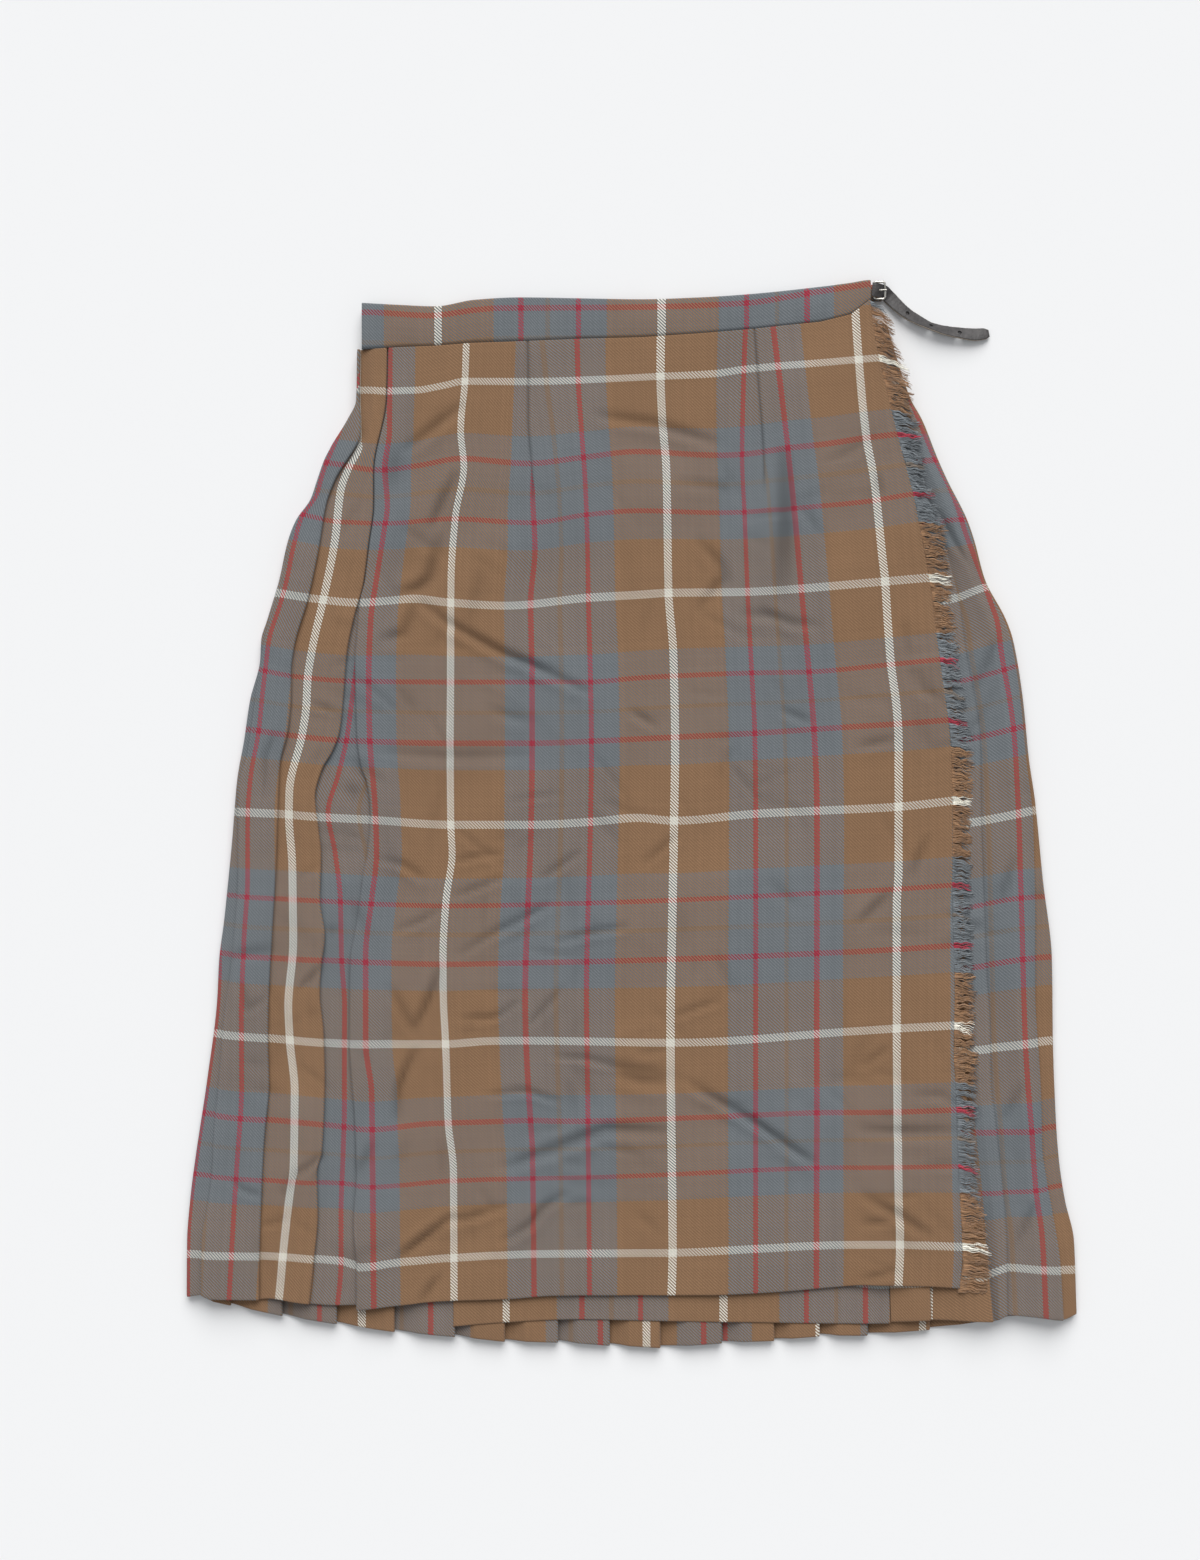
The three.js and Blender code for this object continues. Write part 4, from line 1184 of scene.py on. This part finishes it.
def under_apron():
    y = heights(295, -315, 5.0)
    begin = np.interp(y, [-302, 295], [-111, -125])
    end = gu(y) - UNDER_LAP - SEAM
    t = np.concatenate([[0, 0.003], np.linspace(0.012, 0.988, 56), [0.997, 1]])
    x = begin[:, None] + (end - begin)[:, None] * t
    section = np.stack([x, np.full_like(x, level(3)), under_column(x)], -1)
    # beside the right pleats it lies and matches as they do
    joined = ease((x - end[:, None] + 40) / 40)
    middle = middle_of(section, y, apron_top, under_hem, share=0.4 + 0.6 * joined)
    v = HEM_V - (middle[..., 1] - under_hem(middle[..., 0]))
    v += joined * (sett_row(RIGHT_CROSS_LINES, middle[..., 0], middle[..., 1]) - v)
    return sewn("under_apron_cloth", "under_apron", middle, section[..., 2], v)


def apron_top(x):
    return waist_seam(x) - TOP_GAP


def apron_height(x, y):
    """The over apron's level: over its own turned fold, down on the under apron, up over the pleats."""
    fold, climb = f3(y)[:, None], gu(y)[:, None]
    down_to = 1 - ease((x - fold - APRON_TURN - 1.5) / 11)
    up_to = ease((x - climb + 62) / 35)
    # below the waistband it comes up to the band's own level
    at_waist = ease((y[:, None] - 262) / 32) * (1 - np.maximum(down_to, up_to))
    return level(4) + LEVEL_STEP * (down_to + at_waist + 2 * up_to)


def over_apron():
    nominal = heights(296, -301)
    near_top, near_hem = end_shares(nominal)
    y_edge = nominal + (320.8 - nominal[0]) * near_top + (-294.9 - nominal[-1]) * near_hem
    y_fold = nominal + (291.0 - nominal[0]) * near_top + (-309.2 - nominal[-1]) * near_hem
    fold = f3(y_fold) + CLOTH / 2
    darts = [dart["line"](nominal) for dart in DARTS]
    rim = edge(y_edge)
    near = np.array([-6.0, -3.4, -1.8, -0.8, 0.0, 0.8, 1.8, 3.4, 6.0])
    left_parts, middle_parts, right_parts = 36, 50, 38

    def span(a, b, count):
        t = np.arange(1, count) / count
        return a[:, None] + (b - a)[:, None] * t

    corners = [
        (fold + APRON_TURN - CLOTH / 2, level(4), 0.0),
        (fold, level(4), 0.0),
        (fold, level(5), 0.0),
        (fold + 3.0, level(5), 0.0),
    ]
    turned = rounded(corners, [4, 1, 1])
    parts = [
        span(fold + 3.0, darts[0] - 6, left_parts),
        darts[0][:, None] + near,
        span(darts[0] + 6, darts[1] - 6, middle_parts),
        darts[1][:, None] + near,
        span(darts[1] + 6, rim - 3.4, right_parts),
        rim[:, None] + np.array([-3.4, -2.6, -1.9, -1.2, -0.5, 0.0]),
    ]
    after = np.concatenate([np.full(p.shape[1], n) for n, p in zip([0, 0, 1, 1, 2, 2], parts)])
    flat = np.concatenate(parts, axis=1)
    under = turned.shape[1]
    x = np.concatenate([turned[..., 0], flat], axis=1)
    z = np.concatenate([turned[..., 1], apron_height(flat, nominal)], axis=1)
    y = hung(x, nominal, apron_top, apron_hem)
    middle = lifted(np.stack([x, y, z], -1))

    # the darts' grooves, with painted shade along their seams, and the stitched line beside the fringed
    # edge
    tone = np.ones_like(x)
    for dart, at in zip(DARTS, darts):
        depth = 1.35 * ease((y - dart["tip"] + 6) / 40)
        off = x - at[:, None]
        # painted shade: the cloth is darkened along each dart's seam
        tone *= 1 - 0.4 * ease((y - dart["tip"] + 12) / 16) * np.exp(-((off / 0.8) ** 2))
        middle[..., 2] -= depth * (np.exp(-((off / 0.9) ** 2)) - 0.35 * np.exp(-((off / 4.5) ** 2)))
    from_edge = rim[:, None] - x
    middle[..., 2] -= 0.22 * np.exp(-(((from_edge - 1.9) / 0.7) ** 2))

    place = np.concatenate([np.zeros(under, int), after])
    grid_after = np.broadcast_to(place, x.shape)
    u = apron_column(x, y, grid_after)
    # the turned part runs on past the fold
    at_fold = apron_column(fold, y[:, under], np.zeros(len(fold), int))
    for c in range(under):
        rise = (turned[:, c, 1] - level(4)) / LEVEL_STEP
        turned_under = at_fold - (x[:, c] - fold) - 2.0
        u[:, c] = np.where(rise < 0.01, turned_under, u[:, c] - 2.0 * (1 - rise))
    # from a dart's seam on, its points count the dart as passed, so the sett breaks at the seam
    u_end = u[:, 1:].copy()
    half = len(near) // 2
    first_seam = under + left_parts - 1 + half
    for n, seam in ((1, first_seam), (2, first_seam + len(near) + middle_parts - 1)):
        passed = slice(seam, seam + half + 1)
        after_seam = np.full(x[:, passed].shape, n)
        u[:, passed] = apron_column(x[:, passed], y[:, passed], after_seam)
        u_end[:, seam:seam + half] = u[:, seam + 1:seam + half + 1]
    v = sett_row(CROSS_LINES, x, y)
    return sewn("over_apron_cloth", "over_apron", middle, u, v, u_end=u_end, tone=tone)


def fringe():
    """The over apron's unravelled edge: loose weft yarns in clumps, in one mesh."""
    rng = random.Random(5)
    sides, segments = 3, 11
    points, faces, uvs = [], [], []
    y = 320.5
    bottom = -297.5
    while y > bottom:
        count = rng.randint(5, 12)
        gather = rng.uniform(0.0, 0.4)
        hanging = float(ease((y - 232) / 50))
        lean = rng.gauss(-2.4, 1.5) * (1 - 0.6 * hanging) - 6.0 * hanging
        wave = rng.uniform(0, 6.28)
        reach = rng.uniform(0.94, 1.1)
        centre = y - count * 0.16
        for k in range(count):
            root = y - k * 0.32 + rng.uniform(-0.12, 0.12)
            if root < bottom:
                break
            x0 = float(edge(root)) - 0.6
            long = max(float(tip(root)) - x0, 7.5) * reach * rng.uniform(0.86, 1.08)
            end_y = root + (centre - root) * gather + lean + rng.gauss(0, 0.9)
            phase = wave + rng.gauss(0, 0.3)
            crimp = rng.uniform(0.3, 0.65)
            stack = rng.uniform(-0.4, 0.4)
            v = float(sett_row(CROSS_LINES, np.array([x0]), np.array([root]))[0])
            first = len(points)
            thick = rng.uniform(0.24, 0.33)
            for s in range(segments + 1):
                t = s / segments
                bend = crimp * math.sin(phase + 12.5 * t) * min(1.0, 3 * t)
                lx = x0 + long * (t - 0.05 * math.sin(3 * t + phase))
                ly = root + (end_y - root) * t ** 1.35 + bend + 0.5 * math.sin(phase + 3.1 * t) * t
                lz = level(6) - 0.1 + stack * min(1.0, 4 * t) + 0.25 * math.sin(2 * phase + 9 * t) * t
                radius = thick * (1.0 - 0.3 * t)
                for q in range(sides):
                    a = 2 * math.pi * q / sides + 1.9 * t + phase
                    ring_y = ly + radius * math.cos(a)
                    points.append((lx, ring_y, lz - 0.5 * t * t + radius * math.sin(a)))
            for s in range(segments):
                a, b = first + s * sides, first + (s + 1) * sides
                for q in range(sides):
                    w = (q + 1) % sides
                    faces.append((a + q, a + w, b + w, b + q))
                    uvs += [(s * 1.3, v), (s * 1.3, v), (s * 1.3 + 1.3, v), (s * 1.3 + 1.3, v)]
            last = first + segments * sides
            faces.append((first + 2, first + 1, first))
            faces.append((last, last + 1, last + 2))
            uvs += [(0.0, v)] * 3 + [(14.0, v)] * 3
        y -= count * 0.32 + rng.uniform(0.0, 0.45)
    grid = np.array(points)
    lift = back_lift(grid[:, 0], grid[:, 1]) + front_lift(
        np.minimum(grid[:, 0], edge(grid[:, 1]) + 2), grid[:, 1], SIDE_TOP + 15
    )
    grid[:, 2] += lift
    made = add_mesh("apron_fringe_yarns", grid, faces, uvs)
    return dress(made, "wool_fringe", "apron_fringe", fringe_material())


# ---- the waistband ------------------------------------------------------------------------------

def waistband(name, node, begin, end, low, inset=0.0, climb=0.0):
    """A strip folded along its top edge, from x begin to end."""
    x = -heights(-begin, -end, 3.0)
    lift = climb * LEVEL_STEP * ease((x - 60) / 58)
    top = waist_top(x) - CLOTH / 2 - inset
    seam = waist_seam(x)
    red = band_red(x)
    v_seam, v_top = RED_1 + (red - seam), RED_1 + (red - top)
    inner = 2 * v_top - v_seam - 1.5
    corners = [
        (seam, level(low), inner),
        (top, level(low), v_top - 1.5),
        (top, level(low + 1), v_top),
        (seam, level(low + 1), v_seam),
    ]
    section = rounded(corners, [7, 1, 10])
    wave = 0.28 * np.sin(x / 19.0 + 1.3) + 0.2 * np.sin(x / 7.9) + 0.12 * np.sin(x / 3.7 + 2)
    y, z = section[..., 0], section[..., 1] + lift[:, None]
    outer = ease((z - lift[:, None] - level(low)) / LEVEL_STEP)
    bulge = np.sin(math.pi * np.clip((y - seam[:, None]) / (top - seam)[:, None], 0, 1))
    if low == 4:
        z = z + outer * bulge * (0.45 + wave[:, None])
    middle = np.stack([np.broadcast_to(x[:, None], y.shape), y, z], -1)
    u = np.broadcast_to(band_column(x)[:, None], y.shape)
    v = section[..., 2]
    # the stations run across the skirt, so the section is turned round to keep the skin outward
    return sewn(name, node, middle[:, ::-1], u[:, ::-1], v[:, ::-1])


# ---- the strap and its buckle -------------------------------------------------------------------

# The strap's middle line: x, y, roll in degrees, and z where it doesn't stand on its lower edge.
STRAP = [
    (150.2, 327.5, 0, 9.6), (152.6, 327.3, 0, 9.4), (157.2, 327.0, 2, 5.2), (161.5, 324.0, 12, None),
    (166.6, 318.8, 22, None), (172.8, 313.4, 32, None), (180.0, 309.1, 42, None),
    (187.5, 305.4, 52, None), (196.3, 302.8, 44, None), (205.6, 301.3, 34, None),
    (215.0, 300.4, 22, None), (221.5, 301.0, 14, None), (224.3, 301.4, 12, None),
]
STRAP_WIDTH, STRAP_TIP = 8.6, 4.5
STRAP_HOLES, HOLE_RADIUS = (5, 7, 9), 1.3  # the holes lie at these stations
BUCKLE = {"x": 155.0, "y": 327.2, "z": 7.4, "length": 8.4, "width": 12.0, "bar": 1.4, "corner": 1.5}
PRONG = 0.55


def standing(roll, width):
    a = math.radians(roll)
    return width / 2 * math.sin(a) + LEATHER / 2 * math.cos(a) + SEAM / 2


def strap_frames(count):
    """Centre, across, out and width at even steps along the strap, and at each of its stations."""
    places = [(x, y) for x, y, _, _ in STRAP]
    run = [0.0]
    for a, b in zip(places[:-1], places[1:]):
        run.append(run[-1] + math.dist(a, b))
    widths = [STRAP_WIDTH] * (len(STRAP) - 2) + [STRAP_WIDTH * 0.86, STRAP_TIP]
    zs = [z if z is not None else standing(roll, w) for (_, _, roll, z), w in zip(STRAP, widths)]
    curves = [smooth(list(zip(run, values))) for values in (
        [p[0] for p in places], [p[1] for p in places], zs, [row[2] for row in STRAP])]
    width_at = along(list(zip(run, widths)))

    def frame_at(s):
        x, y, z, roll = (float(c(s)) for c in curves)
        d = 0.4
        run_x, run_y = (float(c(s + d) - c(s - d)) for c in curves[:2])
        ahead = Vector((run_x, run_y, 0))
        ahead.normalize()
        skirtward = Vector((ahead.y, -ahead.x, 0))
        a = math.radians(roll)
        over = skirtward * math.cos(a) + Vector((0, 0, 1)) * math.sin(a)
        out = -over.cross(ahead)
        return Vector((x, y, z)), over, out, float(width_at(s))

    return [frame_at(run[-1] * i / (count - 1)) for i in range(count)], [frame_at(s) for s in run]


def around(sides):
    """Even angles round a circle."""
    return [2 * math.pi * k / sides for k in range(sides)]


def swept(name, rings, closed=False):
    """A skin over rings of points that follow each other."""
    count, size = len(rings), len(rings[0])
    faces = []
    for i in range(count if closed else count - 1):
        a, b = i * size, (i + 1) % count * size
        for k in range(size):
            m = (k + 1) % size
            faces.append((a + k, a + m, b + m, b + k))
    if not closed:
        faces.append(tuple(reversed(range(size))))
        faces.append(tuple(range((count - 1) * size, count * size)))
    made = add_mesh(name, [p for ring in rings for p in ring], faces)
    bm = bmesh.new()
    bm.from_mesh(made.data)
    bmesh.ops.recalc_face_normals(bm, faces=bm.faces)
    bm.to_mesh(made.data)
    bm.free()
    made.data.update()
    return made


def tube(name, line, radii, sides=14, closed=False):
    line = [Vector(p) for p in line]
    rings = []
    for i, p in enumerate(line):
        before = line[i - 1] if i > 0 or closed else p
        after = line[(i + 1) % len(line)] if i < len(line) - 1 or closed else p
        ahead = (after - before).normalized()
        side = Vector((0, 0, 1)).cross(ahead)
        if side.length < 1e-3:
            side = Vector((0, 1, 0))
        side.normalize()
        other = ahead.cross(side)
        radius = radii[i] if hasattr(radii, "__len__") else radii
        rings.append([p + (side * math.cos(a) + other * math.sin(a)) * radius for a in around(sides)])
    return swept(name, rings, closed)


def strap():
    frames, stations = strap_frames(120)
    outline = []
    corner = 0.45
    for sa, sb, start in ((1, 1, 0), (-1, 1, 90), (-1, -1, 180), (1, -1, 270)):
        for step in range(4):
            a = math.radians(start + 30 * step)
            outline.append((sa, sb, corner * math.cos(a), corner * math.sin(a)))
    rings = []
    total = len(frames)
    for i, (centre, over, out, width) in enumerate(frames):
        end = min(i, total - 1 - i)
        pinch = 1.0 if end > 1 else (0.86 if end == 1 else 0.62)
        wobble = 0.12 * math.sin(i * 0.61) + 0.08 * math.sin(i * 1.7 + 1)
        ring = []
        for sa, sb, da, db in outline:
            a = sa * (width / 2 - corner) + da
            b = (sb * (LEATHER / 2 - corner) + db) * pinch
            ring.append(centre + over * a + out * (b + 0.4 * wobble))
        rings.append(ring)
    made = swept("strap_leather_strip", rings)
    made.data.materials.append(leather_material())
    made.data.materials.append(cut_edge_material())
    size = len(outline)
    for i, face in enumerate(made.data.polygons):
        if len(face.vertices) == 4 and i < (total - 1) * size:
            k = i % size
            if k in (7, size - 1):
                face.material_index = 1
    # the punched holes
    for station in STRAP_HOLES:
        centre, over, out, _ = stations[station]
        ahead = out.cross(over)
        line = [centre + out * (t * LEATHER) for t in (-1.2, 1.2)]
        punch = swept("punch", [
            [p + (over * math.cos(a) + ahead * math.sin(a)) * HOLE_RADIUS for a in around(24)]
            for p in line])
        cut = made.modifiers.new("hole", "BOOLEAN")
        cut.operation = "DIFFERENCE"
        cut.solver = "EXACT"
        cut.object = punch
        bpy.context.view_layer.update()
        graph = bpy.context.evaluated_depsgraph_get()
        mesh = bpy.data.meshes.new_from_object(made.evaluated_get(graph))
        made.modifiers.clear()
        made.data = mesh
        bpy.data.objects.remove(punch)
    made.data.polygons.foreach_set("use_smooth", np.full(len(made.data.polygons), True))
    made.data.set_sharp_from_angle(angle=math.radians(50))
    return dress(made, "strap_leather", "strap")


def buckle():
    nickel = metal_material()
    length = BUCKLE["length"] - BUCKLE["bar"]
    width = BUCKLE["width"] - BUCKLE["bar"]
    r = BUCKLE["corner"]
    line = []
    corners = [(1, -1, -90), (1, 1, 0), (-1, 1, 90), (-1, -1, 180)]
    for sx, sy, start in corners:
        for step in range(7):
            a = math.radians(start + 15 * step)
            line.append((BUCKLE["x"] + sx * (length / 2 - r) + r * math.cos(a),
                         BUCKLE["y"] + sy * (width / 2 - r) + r * math.sin(a), BUCKLE["z"]))
    fine = []
    for a, b in zip(line, line[1:] + line[:1]):
        fine.append(a)
        if math.dist(a, b) > 2:
            fine += [tuple(p + (q - p) * t for p, q in zip(a, b)) for t in (0.25, 0.5, 0.75)]
    ring = tube("buckle_frame_wire", fine, BUCKLE["bar"] / 2, sides=16, closed=True)
    dress(ring, "buckle_metal", "buckle_frame", nickel)
    half = BUCKLE["length"] / 2
    x0 = BUCKLE["x"] - half + BUCKLE["bar"] + SEAM
    x1 = BUCKLE["x"] + half + SEAM
    z1 = BUCKLE["z"] + BUCKLE["bar"] / 2 + PRONG + 2 * SEAM
    steps = 14
    prong = [(x0 + (x1 - x0) * i / steps, BUCKLE["y"],
              BUCKLE["z"] + (z1 - BUCKLE["z"]) * i / steps) for i in range(steps + 1)]
    radii = [PRONG * (1.0 - 0.35 * max(0, i - 9) / 5) for i in range(steps + 1)]
    radii[0], radii[-1] = PRONG * 0.6, PRONG * 0.35
    pin = tube("buckle_prong_wire", prong, radii, sides=12)
    dress(pin, "buckle_metal", "buckle_prong", nickel)


# ---- the skirt ---------------------------------------------------------------------------------

back, back_cut = pleats_back()
side_left, left_cut = pleats_left()
side_right, right_cut = pleats_right()
under, under_cut = under_apron()
over, over_cut = over_apron()
yarns = fringe()
band_back, band_back_cut = waistband("waistband_back_cloth", "waistband_back", -168, 157, 0, 1.5)
band_under, band_under_cut = waistband("waistband_under_cloth", "waistband_under", -125, 149.3, 2, 1.5)
band_front, band_front_cut = waistband("waistband_front_cloth", "waistband_front", -168, 149.3, 4, 0.0, 1.0)
strap()
buckle()

# ---- floor, light and camera --------------------------------------------------------------------

bpy.ops.mesh.primitive_plane_add(size=60, location=(0, 0, -0.0002))
floor = bpy.context.object
floor.name = "table_top"
floor.data.materials.append(floor_material())

world = bpy.data.worlds.new("studio")
bpy.context.scene.world = world
world.use_nodes = True
world.node_tree.nodes["Background"].inputs["Color"].default_value = (0.97, 0.985, 1.0, 1.0)
world.node_tree.nodes["Background"].inputs["Strength"].default_value = 0.34


def soft_sun(name, toward, strength, angle, colour):
    """Even light from one side, as from a wide softbox."""
    data = bpy.data.lights.new(name, "SUN")
    data.energy = strength
    data.angle = math.radians(angle)
    data.color = colour
    lamp = bpy.data.objects.new(name, data)
    lamp.rotation_euler = (-Vector(toward)).to_track_quat("-Z", "Y").to_euler()
    bpy.context.scene.collection.objects.link(lamp)


soft_sun("key", (0.06, 1.2, 1.0), 3.5, 50, (1.0, 0.993, 0.98))
soft_sun("fill", (-0.5, -0.2, 1.6), 0.42, 60, (0.96, 0.98, 1.0))

camera_data = bpy.data.cameras.new("camera")
camera = bpy.data.objects.new("camera", camera_data)
bpy.context.scene.collection.objects.link(camera)
camera_data.sensor_width = 36
camera_data.lens = 59.1
camera_data.clip_start, camera_data.clip_end = 0.1, 30
camera.location = (-0.0194, 0.0216, 1.606)
bpy.context.scene.camera = camera
bpy.context.scene.view_settings.view_transform = "Standard"
